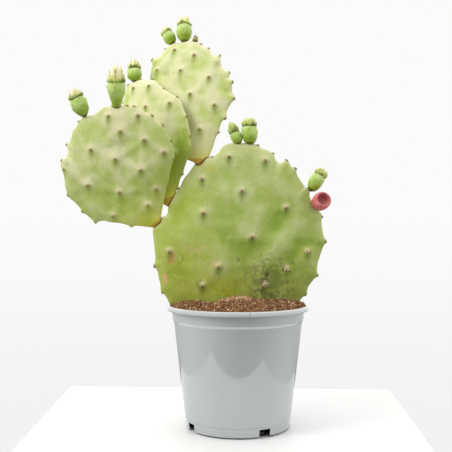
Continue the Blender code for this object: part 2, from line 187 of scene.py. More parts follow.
# %% [markdown]
# ## Light
# A bright studio: white behind and overhead, a little brighter at the sides, and dark below
# the table towards the viewer, as a real room is. The dark part matters, because glossy
# plastic shows it. One large soft light high on the left models the bumps on the pads. The
# world's brightness is a sum that leans on the direction, which is easier to tune than many
# lamps.

# %% Studio light
WALL_SEEN = 0.965
WALL_SEEN_LOW = 0.895
SKY_LEVEL = 0.92
SKY_LEAN = (0.13, 0.26, 0.32)      # brighter to the right, to the back and overhead
SKY_SIDES = 0.42                   # extra brightness of the walls left and right
FLOOR_SHADE = 0.12                 # the room's floor towards the viewer, below the table
FLOOR_SIDES = 0.78                 # how much brighter that floor is to the left and right
FLOOR_EDGE = (-0.26, -0.05)        # the rise at which that floor turns into wall
WALL_FADE = (-0.24, 0.02)          # the rise over which the wall in sight pales
SKY_TINT = (1.0, 1.0, 0.995, 1.0)
KEY_TINT = (1.0, 0.985, 0.96)
KEY_PLACE = Vector((-1.25, -0.75, 1.25))
KEY_AIM = Vector((-0.03, 0.0, 0.30))
KEY_WATTS = 13.0
KEY_SIZE = 0.8

world = bpy.data.worlds.new("white studio")
bpy.context.scene.world = world
world.use_nodes = True
sky = world.node_tree
direction = node(sky, "TexCoord").outputs["Generated"]
lean = node(sky, "VectorMath", {0: direction, 1: SKY_LEAN}, operation="DOT_PRODUCT")
parts = node(sky, "SeparateXYZ", {0: direction})
rise = parts.outputs["Z"]
across = times(sky, parts.outputs["X"], parts.outputs["X"])
sideways = times(sky, across, SKY_SIDES)
level = sums(sky, "ADD", sums(sky, "ADD", lean.outputs["Value"], SKY_LEVEL), sideways)
floor = sums(sky, "ADD", times(sky, across, FLOOR_SIDES), FLOOR_SHADE)
above = spread(sky, rise, *FLOOR_EDGE)
level = node(sky, "Mix", {"Factor": above, "A": floor, "B": level}, data_type="FLOAT").outputs["Result"]
wall = spread(sky, rise, *WALL_FADE, WALL_SEEN_LOW, WALL_SEEN)
seen = node(sky, "LightPath").outputs["Is Camera Ray"]
brightness = node(sky, "Mix", {"Factor": seen, "A": level, "B": wall}, data_type="FLOAT")
sky.links.new(brightness.outputs["Result"], sky.nodes["Background"].inputs["Strength"])
sky.nodes["Background"].inputs["Color"].default_value = SKY_TINT
print("sky nodes", len(sky.nodes))

# %% Softbox
softbox = bpy.data.lights.new("softbox", "AREA")
softbox.shape = "DISK"
softbox.size = KEY_SIZE
softbox.energy = KEY_WATTS
softbox.color = KEY_TINT
key = bpy.data.objects.new("softbox", softbox)
key.location = KEY_PLACE
key.rotation_euler = (KEY_AIM - KEY_PLACE).to_track_quat("-Z", "Y").to_euler()
bpy.context.scene.collection.objects.link(key)
key.visible_glossy = False
print("softbox", round((KEY_PLACE - KEY_AIM).length, 2), "m away")

# %% [markdown]
# ## Mesh helpers
# Most pieces here are grids of points worked out by a formula: rows that run round the
# piece, and columns that run along it. numpy makes such grids quickly, and one helper turns
# them into a mesh. Masks are stored on the points as attributes, so that a material can tell
# the rim from the middle or the joint from the tip.

# %% Mesh helpers
def grid_faces(rows, columns, start=0):
    """Quads of a grid of points whose rows run all the way round."""
    row = np.arange(rows - 1)[:, None] * columns
    here = np.arange(columns)[None, :]
    there = (here + 1) % columns
    quads = np.stack([row + here, row + there, row + columns + there, row + columns + here], axis=-1)
    return (quads.reshape(-1, 4) + start).tolist()


def new_piece(name, points, faces, finish, masks=None, smooth=True):
    """A mesh object from points in metres, riding on the plant's one body."""
    mesh = bpy.data.meshes.new(name)
    mesh.from_pydata(np.asarray(points).tolist(), [], faces)
    for key_name, values in (masks or {}).items():
        values = np.asarray(values, dtype=np.float32)
        kind = "FLOAT_VECTOR" if values.ndim == 2 else "FLOAT"
        layer = mesh.attributes.new(key_name, kind, "POINT")
        layer.data.foreach_set("vector" if values.ndim == 2 else "value", values.ravel())
    mesh.polygons.foreach_set("use_smooth", [smooth] * len(mesh.polygons))
    mesh.materials.append(finish)
    mesh.update()
    piece = bpy.data.objects.new(name, mesh)
    bpy.context.scene.collection.objects.link(piece)
    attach(piece, "root")
    return piece


def how_proud(piece, node_name):
    """Print how far a piece stands out of the node it replaces, in millimetres."""
    spots = np.array([corner[:] for corner in piece.bound_box])
    low, high = (np.array(corner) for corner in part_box(node_name))
    out = max((low - spots.min(0)).max(), (spots.max(0) - high).max()) / MM
    print(f"{piece.name}: {len(piece.data.polygons)} faces, {out:+.1f} mm beyond {node_name}")


def swell(x, z, size, seed, waves=9):
    """Smooth random waves about one size apart, mostly between -1 and 1."""
    dice = np.random.default_rng(int(seed))
    total = np.zeros_like(x, dtype=float)
    for _ in range(waves):
        bearing = dice.uniform(0.0, 2.0 * math.pi)
        pitch = size * dice.uniform(0.7, 1.7)
        start = dice.uniform(0.0, 2.0 * math.pi)
        along = x * math.cos(bearing) + z * math.sin(bearing)
        total += np.sin(along * 2.0 * math.pi / pitch + start)
    return total / math.sqrt(waves) / 1.3


# %% [markdown]
# ## The table
# The pot stands on a small white table, nearly square. Its size is not only decoration: the
# pot's glossy wall mirrors the table top, and the table's front corners show as two peaks
# half way up the pot. A flat slab, drawn by its four corners, with a softened edge is enough.

# %% Table top
TABLE_CORNERS = ((-0.271, -0.2505), (0.225, -0.2505), (0.253, 0.222), (-0.277, 0.247))
TABLE_THICK = 0.03
TABLE_CORNER = 0.003

TABLE_WHITE = ((0.79, 0.79, 0.78), (0.82, 0.82, 0.81))

table_finish, tree, shader = new_finish("white table top", 0.5, 0.4)
place = node(tree, "TexCoord").outputs["Object"]
cloud = noise(tree, place, 6.0, 3.0)
colour = blend(tree, cloud, *TABLE_WHITE)
tree.links.new(colour, shader.inputs["Base Color"])
rims = [(TABLE_CORNER, 0.0), (0.0, -TABLE_CORNER), (0.0, -TABLE_THICK)]
spots = []
for inset, z in rims:
    spots += [(x - math.copysign(inset, x), y - math.copysign(inset, y), z) for x, y in TABLE_CORNERS]
top_mesh = bpy.data.meshes.new("table_top")
edges = [quad[::-1] for quad in grid_faces(len(rims), len(TABLE_CORNERS))]
top_mesh.from_pydata(spots, [], edges + [(0, 1, 2, 3), (11, 10, 9, 8)])
top_mesh.materials.append(table_finish)
table = bpy.data.objects.new("table_top", top_mesh)
bpy.context.scene.collection.objects.link(table)
print("table", [round(side, 3) for side in table.dimensions], "m")

# %% [markdown]
# ## Effects that several skins share
# Living skin is never one colour. Three effects come back on pads, buds and fruit, so each
# is a node group with named sockets: *cloudy skin* gives broad patches, fine pores and their
# height; *dry patch* gives the ragged edge of a scar or stain at a given spot; *dust* gives
# the pale film that gathers on whatever faces up. Each material sets its own values.

# %% Group helper
def new_group(name, takes, gives):
    """A node group with its input and output sockets, and the nodes at both its ends."""
    group = bpy.data.node_groups.new(name, "ShaderNodeTree")
    for label, kind, value in takes:
        socket = group.interface.new_socket(name=label, in_out="INPUT", socket_type=kind)
        if value is not None:
            socket.default_value = value
    for label, kind in gives:
        group.interface.new_socket(name=label, in_out="OUTPUT", socket_type=kind)
    entry = group.nodes.new("NodeGroupInput")
    leave = group.nodes.new("NodeGroupOutput")
    return group, entry.outputs, leave.inputs


def use(tree, group, inputs):
    """Place a group in a material and hand back its outputs."""
    made = tree.nodes.new("ShaderNodeGroup")
    made.node_tree = group
    for label, value in inputs.items():
        if isinstance(value, bpy.types.NodeSocket):
            tree.links.new(value, made.inputs[label])
        else:
            made.inputs[label].default_value = value
    return made.outputs


FLOAT = "NodeSocketFloat"
VECTOR = "NodeSocketVector"
print("sockets are", FLOAT, "or", VECTOR)

# %% [markdown]
# *Cloudy skin* mixes two scales: a slow noise for patches, and a cell pattern for pores. The
# cells' distance also serves as height, so that colour and relief belong together.

# %% Cloudy skin
cloudy, into, out = new_group(
    "cloudy skin",
    [("Place", VECTOR, None), ("Patch size", FLOAT, 25.0), ("Pore size", FLOAT, 1.2)],
    [("Patches", FLOAT), ("Flecks", FLOAT), ("Height", FLOAT)],
)
patch_pitch = sums(cloudy, "DIVIDE", 1.0, into["Patch size"])
pore_pitch = sums(cloudy, "DIVIDE", 1.0, into["Pore size"])
broad = noise(cloudy, into["Place"], patch_pitch, 4.0, Roughness=0.6)
cloudy.links.new(spread(cloudy, broad, 0.3, 0.7), out["Patches"])
pores = node(
    cloudy, "TexVoronoi", {"Vector": into["Place"], "Scale": pore_pitch, "Randomness": 1.0},
).outputs["Distance"]
ripple = noise(cloudy, into["Place"], times(cloudy, pore_pitch, 0.35), 5.0)
cloudy.links.new(spread(cloudy, pores, 0.42, 0.12), out["Flecks"])
height = sums(cloudy, "ADD", times(cloudy, pores, 0.35), ripple)
cloudy.links.new(height, out["Height"])
print("group", cloudy.name)

# %% [markdown]
# *Dry patch* measures how far a point lies from a centre, in half-sizes, and tears that
# distance with noise. A scar is then one line in a material: where, how big, how ragged.

# %% Dry patch
dry_patch, into, out = new_group(
    "dry patch",
    [("Place", VECTOR, None), ("Centre", VECTOR, None), ("Size", VECTOR, (5.0, 5.0, 5.0)),
     ("Raggedness", FLOAT, 0.5)],
    [("Mask", FLOAT), ("Core", FLOAT)],
)
offset = node(dry_patch, "VectorMath", {0: into["Place"], 1: into["Centre"]}, operation="SUBTRACT")
scaled = node(dry_patch, "VectorMath", {0: offset.outputs[0], 1: into["Size"]}, operation="DIVIDE")
away = node(dry_patch, "VectorMath", {0: scaled.outputs[0]}, operation="LENGTH").outputs["Value"]
torn = noise(dry_patch, into["Place"], 0.16, 3.0)
tear = times(dry_patch, sums(dry_patch, "SUBTRACT", torn, 0.5), into["Raggedness"])
edge = sums(dry_patch, "ADD", away, times(dry_patch, tear, 4.0))
dry_patch.links.new(spread(dry_patch, edge, 1.25, 0.45), out["Mask"])
dry_patch.links.new(spread(dry_patch, edge, 0.65, 0.15), out["Core"])
print("group", dry_patch.name)

# %% [markdown]
# *Dust* looks at which way the surface faces. What faces up gathers it, what hangs does not.

# %% Dust that settles on what faces up
dust, into, out = new_group(
    "dust",
    [("Amount", FLOAT, 0.3), ("Grain", FLOAT, 400.0)],
    [("Mask", FLOAT)],
)
surface = node(dust, "NewGeometry").outputs
facing = node(dust, "SeparateXYZ", {0: surface["Normal"]}).outputs["Z"]
speck = spread(dust, noise(dust, surface["Position"], into["Grain"], 3.0), 0.35, 0.65, 0.5, 1.0)
settled = times(dust, spread(dust, facing, 0.0, 1.0), speck)
dust.links.new(times(dust, settled, into["Amount"]), out["Mask"])
print("group", dust.name)

# %% [markdown]
# ## The pads' drawing
# A pad is a flattened stem. Its outline is drawn in its own plane, in millimetres from its
# neck: x across and z along. The rim is not smooth: it swells at each areole, the small
# felted cushion that bears the bristles. `roll`, `lean` and `yaw` then turn the whole pad,
# and its first few centimetres twist back to sit square on the pad it grows from.

# %% Drawing of the four pads
PADS = {
    "pad_base": {
        "neck": (0.0, 0.0, 147.0), "dome": 4.0, "pale": (-0.05, 0.08, 0.30),
        "roll": 0.0, "lean": 0.0, "yaw": 0.0,
        "thick": 23.0, "centre": (0.0, 100.0), "parent": None, "seed": 3,
        "outline": [
            (-26, -46), (-62, -26), (-84, 7), (-91, 15), (-94, 21), (-98, 28), (-103, 34),
            (-104, 42), (-106, 50), (-108, 60), (-112, 68), (-111, 73), (-111, 81), (-112, 92),
            (-113, 101), (-114, 111), (-113, 119), (-108, 127), (-102, 132), (-97, 134), (-94, 138),
            (-93, 149), (-90, 155), (-86, 160), (-82, 165), (-78, 171), (-75, 178), (-72, 184),
            (-64, 194), (-57, 204), (-51, 208), (-44, 212), (-37, 211), (-32, 213), (-25, 220),
            (-20, 227), (-14, 230), (-7, 231), (4, 231), (13, 231), (21, 230), (27, 227), (32, 224),
            (39, 222), (44, 219), (48, 215), (50, 210), (54, 205), (58, 205), (62, 207), (67, 207),
            (70, 202), (73, 199), (77, 196), (79, 190), (82, 184), (86, 178), (90, 172), (94, 172),
            (96, 166), (96, 160), (99, 154), (103, 146), (107, 142), (111, 137), (112, 131),
            (112, 125), (113, 116), (115, 107), (117, 101), (116, 96), (113, 89), (110, 80),
            (107, 70), (106, 62), (106, 54), (102, 49), (98, 44), (94, 38), (92, 31), (87, 25),
            (83, 20), (74, 2), (50, -28), (14, -50),
        ],
        "face": [
            (-12, 212), (36, 207), (-48, 182), (5, 166), (64, 144), (-46, 137), (18, 105),
            (92, 85), (-91, 86), (-26, 66), (64, 62), (-47, 41), (36, 42),
        ],
        "rim": [
            (-111, 66), (-101, 32), (-78, 170), (-34, 211), (25, 226), (47, 216),
            (65, 206), (75, 196), (112, 132), (118, 100), (106, 54), (89, 30),
        ],
    },
    "pad_left": {
        "neck": (-108.0, -1.0, 271.5), "dome": 5.0, "pale": (-0.05, 0.18, 0.34),
        "roll": -34.0, "lean": 14.0, "yaw": -8.0,
        "thick": 15.0, "centre": (-2.0, 92.0), "parent": "pad_base", "seed": 11,
        "outline": [
            (-4, -9), (-8, -3), (-12, 1), (-20, 8), (-27, 14), (-32, 17), (-37, 23), (-44, 30),
            (-53, 37), (-60, 44), (-70, 48), (-72, 53), (-74, 62), (-76, 69), (-76, 76), (-77, 85),
            (-79, 95), (-77, 104), (-75, 110), (-70, 118), (-66, 125), (-63, 133), (-60, 139),
            (-54, 141), (-46, 142), (-40, 147), (-37, 153), (-32, 154), (-25, 158), (-19, 163),
            (-11, 165), (-2, 168), (5, 169), (11, 166), (18, 163), (26, 163), (35, 163), (42, 159),
            (55, 151), (63, 144), (67, 141), (72, 134), (75, 128), (80, 119), (81, 114), (83, 103),
            (84, 96), (83, 88), (81, 77), (76, 63), (70, 56), (58, 47), (47, 37), (36, 29),
            (27, 20), (20, 14), (9, 3), (4, -9),
        ],
        "face": [
            (35, 150), (67, 128), (37, 125), (56, 98), (-10, 129), (10, 100), (67, 70),
            (-60, 130), (29, 69), (-43, 94), (-13, 62), (28, 37), (6, 26), (-42, 41),
        ],
        "rim": [
            (-31, 15), (-70, 49), (-76, 70), (-80, 100), (-57, 144), (-36, 152),
            (-4, 167), (45, 157), (61, 145), (68, 140), (80, 117), (84, 99), (81, 77), (70, 56),
        ],
    },
    "pad_middle": {
        # the low pale value at this pad's foot is painted shade, as cast by the left pad
        "neck": (-87.4, 2.0, 304.0), "dome": 2.0, "pale": (-0.90, 0.26, 0.36),
        "roll": -14.0, "lean": -2.0, "yaw": -36.0,
        "thick": 15.0, "centre": (-10.0, 98.0), "parent": "pad_base", "seed": 23,
        "outline": [
            (-8, -10), (-15, -3), (-24, 16), (-40, 38), (-54, 62), (-63, 88), (-67, 114),
            (-66, 138), (-59, 158), (-51, 172), (-44, 178), (-37, 180), (-28, 179), (-16, 176),
            (-4, 171), (4, 167), (10, 159), (17, 149), (24, 143), (30, 137), (38, 129), (42, 120),
            (44, 110), (46, 101), (47, 90), (47, 79), (46, 68), (45, 58), (40, 51), (33, 44),
            (26, 37), (22, 32), (15, 24), (10, 14), (6, 7), (3, -4), (0, -10),
        ],
        "face": [
            (-31, 168), (-3, 161), (-12, 133), (28, 125), (11, 99), (-38, 104),
            (20, 58), (-14, 64), (-30, 138),
        ],
        "rim": [
            (-47, 182), (-20, 178), (1, 169), (15, 150), (34, 130), (42, 100), (43, 74),
            (17, 32), (-40, 38), (-64, 92), (-67, 126), (-60, 158),
        ],
    },
    "pad_top": {
        # the high pale value at this pad's foot is painted light, against the middle pad's shade
        "neck": (-52.0, 0.0, 354.5), "dome": 5.0, "pale": (0.80, 0.22, 0.12),
        "roll": -4.0, "lean": -14.0, "yaw": -24.0,
        "thick": 15.0, "centre": (-18.0, 100.0), "parent": "pad_base", "seed": 37,
        "outline": [
            (-1, -10), (-5, -4), (-11, -1), (-17, 2), (-20, 12), (-28, 30), (-42, 54), (-60, 80),
            (-75, 108), (-83, 131), (-83, 142), (-82, 151), (-81, 162), (-76, 163), (-69, 166),
            (-64, 172), (-60, 176), (-56, 179), (-48, 182), (-39, 181), (-31, 181), (-23, 181),
            (-15, 179), (-9, 175), (-2, 169), (4, 165), (8, 162), (12, 155), (17, 151), (24, 150),
            (26, 141), (29, 132), (34, 127), (39, 122), (40, 114), (44, 109), (44, 103), (45, 94),
            (48, 86), (46, 80), (42, 74), (38, 67), (37, 58), (31, 52), (28, 45), (26, 39),
            (22, 32), (18, 19), (14, 8), (13, 2), (8, -10),
        ],
        "face": [
            (-42, 166), (-10, 152), (24, 140), (-69, 140), (-28, 130), (15, 114),
            (-11, 92), (24, 73), (3, 41), (-50, 100),
        ],
        "rim": [
            (-80, 161), (-62, 175), (-4, 174), (6, 163), (23, 149), (38, 122),
            (45, 108), (47, 83), (36, 56), (30, 36), (-46, 60), (-72, 100),
        ],
    },
}
print(len(PADS), "pads drawn")

# %% [markdown]
# ## From drawing to surface
# The outline becomes a smooth closed curve, the surface is a set of ever smaller copies of
# it, and the thickness falls from the middle to the rim like a cushion's. On top come the
# soft undulations of watery tissue, a raised mound under each areole, and scallops at the rim.

# %% Outline and thickness
RIM_POINTS = 480
RIM_STEPS = 46
TWIST_LENGTH = 55.0
MOUND_HEIGHT = 2.3
MOUND_REACH = 5.2
SWELL_HEIGHT = 0.9
SCALLOP_HEIGHT = 0.9
SCALLOP_REACH = 4.0
NOTCH_BLUR = 12       # rim points; inner copies of the outline lose notches smaller than this
RIB_HEIGHT = 0.75
RIB_WIDTH = 7.0
RIB_LONGEST = 50.0


def smooth_outline(knots, count):
    """Closed Catmull-Rom curve through the knots, with evenly spaced points."""
    knots = np.array(knots, dtype=float)
    steps = np.linspace(0.0, 1.0, 24, endpoint=False)[:, None]
    spans = []
    for k in range(len(knots)):
        a, b, c, d = (knots[(k + shift) % len(knots)] for shift in (-1, 0, 1, 2))
        spans.append(
            0.5 * (2 * b + (c - a) * steps + (2 * a - 5 * b + 4 * c - d) * steps**2
                   + (3 * b - a - 3 * c + d) * steps**3)
        )
    curve = np.vstack(spans)
    loop = np.vstack([curve, curve[:1]])
    walked = np.concatenate([[0.0], np.cumsum(np.linalg.norm(np.diff(loop, axis=0), axis=1))])
    even = np.linspace(0.0, walked[-1], count, endpoint=False)
    return np.stack([np.interp(even, walked, loop[:, axis]) for axis in (0, 1)], axis=1)


def draw_rim(pad):
    """The pad's edge with a swelling at each rim areole; keeps where those swellings are."""
    edge = smooth_outline(pad["outline"], RIM_POINTS)
    centre = np.array(pad["centre"])
    outward = edge - centre
    outward /= np.linalg.norm(outward, axis=1)[:, None]
    pitch = np.linalg.norm(edge[1] - edge[0])
    swelling = np.zeros(RIM_POINTS)
    peaks = []
    for spot in pad["rim"]:
        nearest = int(np.argmin(np.linalg.norm(edge - np.array(spot), axis=1)))
        apart = np.abs(np.arange(RIM_POINTS) - nearest)
        apart = np.minimum(apart, RIM_POINTS - apart) * pitch
        swelling += SCALLOP_HEIGHT * np.exp(-((apart / SCALLOP_REACH) ** 2))
        peaks.append(nearest)
    pad["edge"] = edge + outward * swelling[:, None]
    pad["peaks"] = peaks
    apart = np.arange(-3 * NOTCH_BLUR, 3 * NOTCH_BLUR + 1)
    weight = np.exp(-((apart / NOTCH_BLUR) ** 2))
    weight /= weight.sum()
    pad["soft_edge"] = sum(np.roll(pad["edge"], k, axis=0) * w for k, w in zip(apart, weight))


for pad in PADS.values():
    draw_rim(pad)
first, second = PADS["pad_base"]["edge"][:2]
print("rim step", round(float(np.linalg.norm(second - first)), 2), "mm")

# %% Where a spot lies on a pad
def rim_share(pad, x, z):
    """How far spots lie from the pad's centre, as a share of the way to its rim."""
    reach = pad["edge"] - np.array(pad["centre"])
    bearings = np.arctan2(reach[:, 1], reach[:, 0])
    order = np.argsort(bearings)
    dx, dz = x - pad["centre"][0], z - pad["centre"][1]
    full = np.interp(
        np.arctan2(dz, dx), bearings[order], np.linalg.norm(reach, axis=1)[order],
        period=2.0 * math.pi,
    )
    return np.hypot(dx, dz) / full


def areoles_on(pad, side):
    """Face areoles of the front (side -1); the back repeats them mirrored."""
    if side < 0:
        return pad["face"]
    return [(2.0 * pad["centre"][0] - x, z) for x, z in pad["face"]]


corner = rim_share(PADS["pad_base"], np.array([80.0]), np.array([160.0]))[0]
print("80 mm right and 160 mm up lies at", round(float(corner), 2), "of the way to the rim")

# %% [markdown]
# The skin's height is a sum of simple shapes: the cushion, slow waves, low ribs between
# neighbouring areoles, and a mound under each. Sculpting by hand would work as well, but a
# formula keeps the areoles and their mounds together when the drawing changes.

# %% Height of a pad's face
BROAD_WAVES = (0.9, 48.0)        # height and size of the waves on a face, mm
SMALL_WAVES = (0.30, 16.0)
FOLD_HEIGHT = 2.3
FOLD_PITCH = 7.6                 # a fold's width, mm, over 2 pi
FOLD_LINE = (0.76, -0.65, 20.0)  # direction across the folds, and their start
FOLD_CENTRE = (56.0, 88.0)
FOLD_REACH = (48.0, 70.0)
SWELL_REACH = 17.0


def rib_height(x, z, spots):
    """Low ribs that join neighbouring areoles, highest half way between them."""
    height = np.zeros_like(x)
    for k, first in enumerate(spots):
        for second in spots[k + 1:]:
            span = np.array(second, dtype=float) - np.array(first, dtype=float)
            length = np.linalg.norm(span)
            if length > RIB_LONGEST:
                continue
            along = np.clip(((x - first[0]) * span[0] + (z - first[1]) * span[1]) / length**2, 0.0, 1.0)
            off = np.hypot(x - first[0] - along * span[0], z - first[1] - along * span[1])
            height = np.maximum(height, RIB_HEIGHT * np.exp(-((off / RIB_WIDTH) ** 2)))
    return height


def face_relief(pad, x, z, side):
    """Bumps and hollows of a face, in millimetres above its plain cushion shape."""
    spots = areoles_on(pad, side)
    seed = pad["seed"] + int(side)
    relief = BROAD_WAVES[0] * swell(x, z, BROAD_WAVES[1], seed)
    relief += SMALL_WAVES[0] * swell(x, z, SMALL_WAVES[1], seed + 5)
    relief += rib_height(x, z, spots) - 0.5 * RIB_HEIGHT
    if pad["parent"] is None:
        # long slanting folds on the right of the old pad
        fold = np.cos((FOLD_LINE[0] * x + FOLD_LINE[1] * z + FOLD_LINE[2]) / FOLD_PITCH)
        beside, above = (x - FOLD_CENTRE[0]) / FOLD_REACH[0], (z - FOLD_CENTRE[1]) / FOLD_REACH[1]
        relief += FOLD_HEIGHT * fold * np.exp(-(beside**2) - above**2)
    for spot_x, spot_z in spots:
        apart = np.hypot(x - spot_x, z - spot_z)
        relief += MOUND_HEIGHT * np.exp(-((apart / MOUND_REACH) ** 1.5))
        relief += SWELL_HEIGHT * np.exp(-((apart / SWELL_REACH) ** 2))
    return relief


def face_height(pad, x, z, share, side):
    """Distance of the skin from the pad's plane, in millimetres; the face domes forward."""
    body = 0.5 * pad["thick"] * np.sqrt(np.clip(1.0 - share**2.8, 0.0, 1.0))
    inner = np.clip(1.0 - share**8, 0.0, 1.0)
    ease = 1.0 if pad["parent"] is None else np.clip(z / TWIST_LENGTH, 0.0, 1.0) ** 2
    dome = -pad["dome"] * (1.0 - share**2) * ease
    return side * (body + face_relief(pad, x, z, side) * inner) + dome


base = PADS["pad_base"]
middle = face_height(base, np.zeros(1), np.full(1, 100.0), np.zeros(1), -1.0)[0]
print("the old pad's face stands", round(-float(middle), 1), "mm in front of its plane")

# %% Turn a pad and carry it to its place
def turn_of(pad):
    """The pad's rotation: roll in its plane, then lean, then yaw."""
    yaw = Matrix.Rotation(math.radians(pad["yaw"]), 3, "Z")
    lean = Matrix.Rotation(math.radians(pad["lean"]), 3, "X")
    roll = Matrix.Rotation(math.radians(pad["roll"]), 3, "Y")
    return np.array(yaw @ lean @ roll)


def to_world(pad, points):
    """Millimetres in the pad's plane to metres in the frame, with the twist at the neck."""
    points = np.atleast_2d(np.asarray(points, dtype=float))
    x, y, z = points.T
    if pad["parent"]:
        ease = np.clip(z / TWIST_LENGTH, 0.0, 1.0)
        ease = ease * ease * (3.0 - 2.0 * ease)
        turn = -math.radians(pad["yaw"]) * (1.0 - ease)
        x, y = x * np.cos(turn) - y * np.sin(turn), x * np.sin(turn) + y * np.cos(turn)
    placed = np.stack([x, y, z], axis=1) @ turn_of(pad).T + np.array(pad["neck"])
    return placed * MM


print("the top pad's tip is at", to_world(PADS["pad_top"], (-31, 0, 181)).round(3)[0], "m")

# %% [markdown]
# ## Masks on the skin
# The skin's colour follows what happens at each spot: cream along the rim, olive streaks
# under the areoles, partly painted shade below their mounds, a painted highlight over them,
# yellow towards the neck, and a dark corky line where one pad grows from another. Each of
# these is a number from 0 to 1 on every point.

# %% Masks of one face
# painted highlight: a pale spot painted just above each areole, where its mound would catch the light
HIGHLIGHT_ABOVE = 3.4                 # a pale brow sits this far above its areole, mm
HIGHLIGHT_SIZE = (3.0, 3.6)           # its reach up and across
STREAK_LENGTH = 10.0
STREAK_WIDTH = 4.2
RIM_STARTS = 0.86                # share of the way out at which the rim's tone starts
NECK_REACH = 16.0
# pale: each pad's tone by height, partly younger tissue paler towards the top, partly painted light and
# shade at the feet of the middle and top pads
PALE_AT = (10.0, 95.0, 175.0)    # heights on a pad that its three "pale" values stand for


def skin_masks(pad, x, z, share, side):
    """Rim, painted highlight, streak, neck and height masks for one face's points."""
    down = turn_of(pad).T @ np.array((0.0, 0.0, -1.0))
    fall = np.array((down[0], down[2]))
    fall /= np.linalg.norm(fall)
    brow = np.zeros_like(x)
    streak = np.zeros_like(x)
    for spot_x, spot_z in areoles_on(pad, side):
        dx, dz = x - spot_x, z - spot_z
        below = dx * fall[0] + dz * fall[1]
        across = dx * fall[1] - dz * fall[0]
        upward, sideways = (below + HIGHLIGHT_ABOVE) / HIGHLIGHT_SIZE[0], across / HIGHLIGHT_SIZE[1]
        brow = np.maximum(brow, np.exp(-(upward**2) - sideways**2))
        # streak: partly the skin's own olive tone, partly painted shade below each areole's mound
        tail = np.exp(-((np.clip(below - 2.0, 0.0, None) / STREAK_LENGTH) ** 2))
        tail *= np.clip(below + 1.5, 0.0, 1.0)
        streak = np.maximum(streak, tail * np.exp(-((across / STREAK_WIDTH) ** 2)))
    rim = np.clip((share - RIM_STARTS) / (1.0 - RIM_STARTS), 0.0, 1.0)
    neck = np.exp(-np.clip(z, 0.0, None) / NECK_REACH) if pad["parent"] else np.zeros_like(x)
    pale = np.interp(z, PALE_AT, pad["pale"])
    # height mask: raised skin reads paler and hollows deeper, partly wax bloom, partly painted light on
    # ridges and painted shade in hollows; pale adds each pad's tone by height
    high = np.clip(0.5 + face_relief(pad, x, z, side) / 4.0, 0.0, 1.0) + pale
    return {"rim": rim, "brow": brow, "streak": streak, "neck": neck, "high": high}


tip_masks = skin_masks(PADS["pad_left"], np.zeros(1), np.full(1, 160.0), np.full(1, 0.9), -1.0)
print("near the left pad's tip:", {name: round(float(value[0]), 2) for name, value in tip_masks.items()})

# %% [markdown]
# A pad's surface is built like an onion: rings from the middle of the front out to the rim,
# and back in behind. The rings stand closer together towards the rim, where the skin turns,
# and the inner ones lose the rim's small notches, so that no crease runs in from a notch.

# %% Points and masks of a whole pad
RING_CROWDING = 1.7              # above 1, rings crowd towards the rim
NOTCH_FADE = 5                   # how fast notches fade inwards
SKIN_DEPTH = 30.0                # front and back read different parts of a pattern, mm


def pad_surface(pad):
    """All points of a pad, from the middle of its front over the rim to its back."""
    steps = 1.0 - (1.0 - np.linspace(0.0, 1.0, RIM_STEPS + 1)[1:]) ** RING_CROWDING
    centre = np.array(pad["centre"])
    points, masks, skins = [], [], []
    for side, shares in ((-1.0, steps), (1.0, steps[-2::-1])):
        keep = shares[:, None, None] ** NOTCH_FADE
        outline = pad["soft_edge"] + (pad["edge"] - pad["soft_edge"]) * keep
        rings = centre + (outline - centre) * shares[:, None, None]
        x, z = rings[..., 0].ravel(), rings[..., 1].ravel()
        share = np.repeat(shares, RIM_POINTS)
        y = face_height(pad, x, z, share, side)
        points.append(np.stack([x, y, z], axis=1))
        masks.append(skin_masks(pad, x, z, share, side))
        skins.append(np.stack([x, np.full_like(x, side * SKIN_DEPTH), z], axis=1))
    points = np.vstack(points)
    joined = {key: np.concatenate([m[key] for m in masks]) for key in masks[0]}
    joined["skin"] = np.vstack(skins)
    rows = 2 * RIM_STEPS - 1
    faces = grid_faces(rows, RIM_POINTS)
    faces.append(list(range(RIM_POINTS))[::-1])
    faces.append([(rows - 1) * RIM_POINTS + i for i in range(RIM_POINTS)])
    return points, faces, joined


surfaces = {}
for pad_name, pad in PADS.items():
    local, faces, masks = pad_surface(pad)
    surfaces[pad_name] = {"local": local, "world": to_world(pad, local), "faces": faces, "masks": masks}
print("points per pad", len(surfaces["pad_base"]["local"]))

# %% [markdown]
# Where a pad has grown from another, a dark corky line marks the joint. A search tree of each
# surface tells how near a point is to the other pad, and only points near a neck are asked.

# %% Corky line where pads meet
JOINT_REACH = 0.9     # mm
CORK_REACH = 26.0     # only points this near a neck can belong to a joint, mm


def joint_mask(points, tree_of_other, near):
    """1 where the skin touches the other pad, falling to 0 a few millimetres away."""
    found = np.zeros(len(points))
    for index in np.nonzero(near)[0]:
        gap = tree_of_other.find_nearest(Vector(points[index]))[3]
        found[index] = math.exp(-gap / MM / JOINT_REACH)
    return found


trees = {
    name: BVHTree.FromPolygons(shape["world"].tolist(), shape["faces"])
    for name, shape in surfaces.items()
}
for shape in surfaces.values():
    shape["masks"]["joint"] = np.zeros(len(shape["world"]))
for pad_name, pad in PADS.items():
    if not pad["parent"]:
        continue
    root = np.array(pad["neck"]) * MM
    for here, other in ((pad_name, pad["parent"]), (pad["parent"], pad_name)):
        spots = surfaces[here]["world"]
        near = np.linalg.norm(spots - root, axis=1) < CORK_REACH * MM
        found = joint_mask(spots, trees[other], near)
        surfaces[here]["masks"]["joint"] = np.maximum(surfaces[here]["masks"]["joint"], found)
        print(here, "meets", other, "at", int((found > 0.5).sum()), "points")

# %% [markdown]
# ## Pad skin
# Young pads are pale yellow-green with a cream edge; the old pad is a deeper green, browner
# towards the soil, scratched and scarred. Both are built by one function from the same
# groups, with their own colours. The wax on the skin is soft, so the gloss is broad.

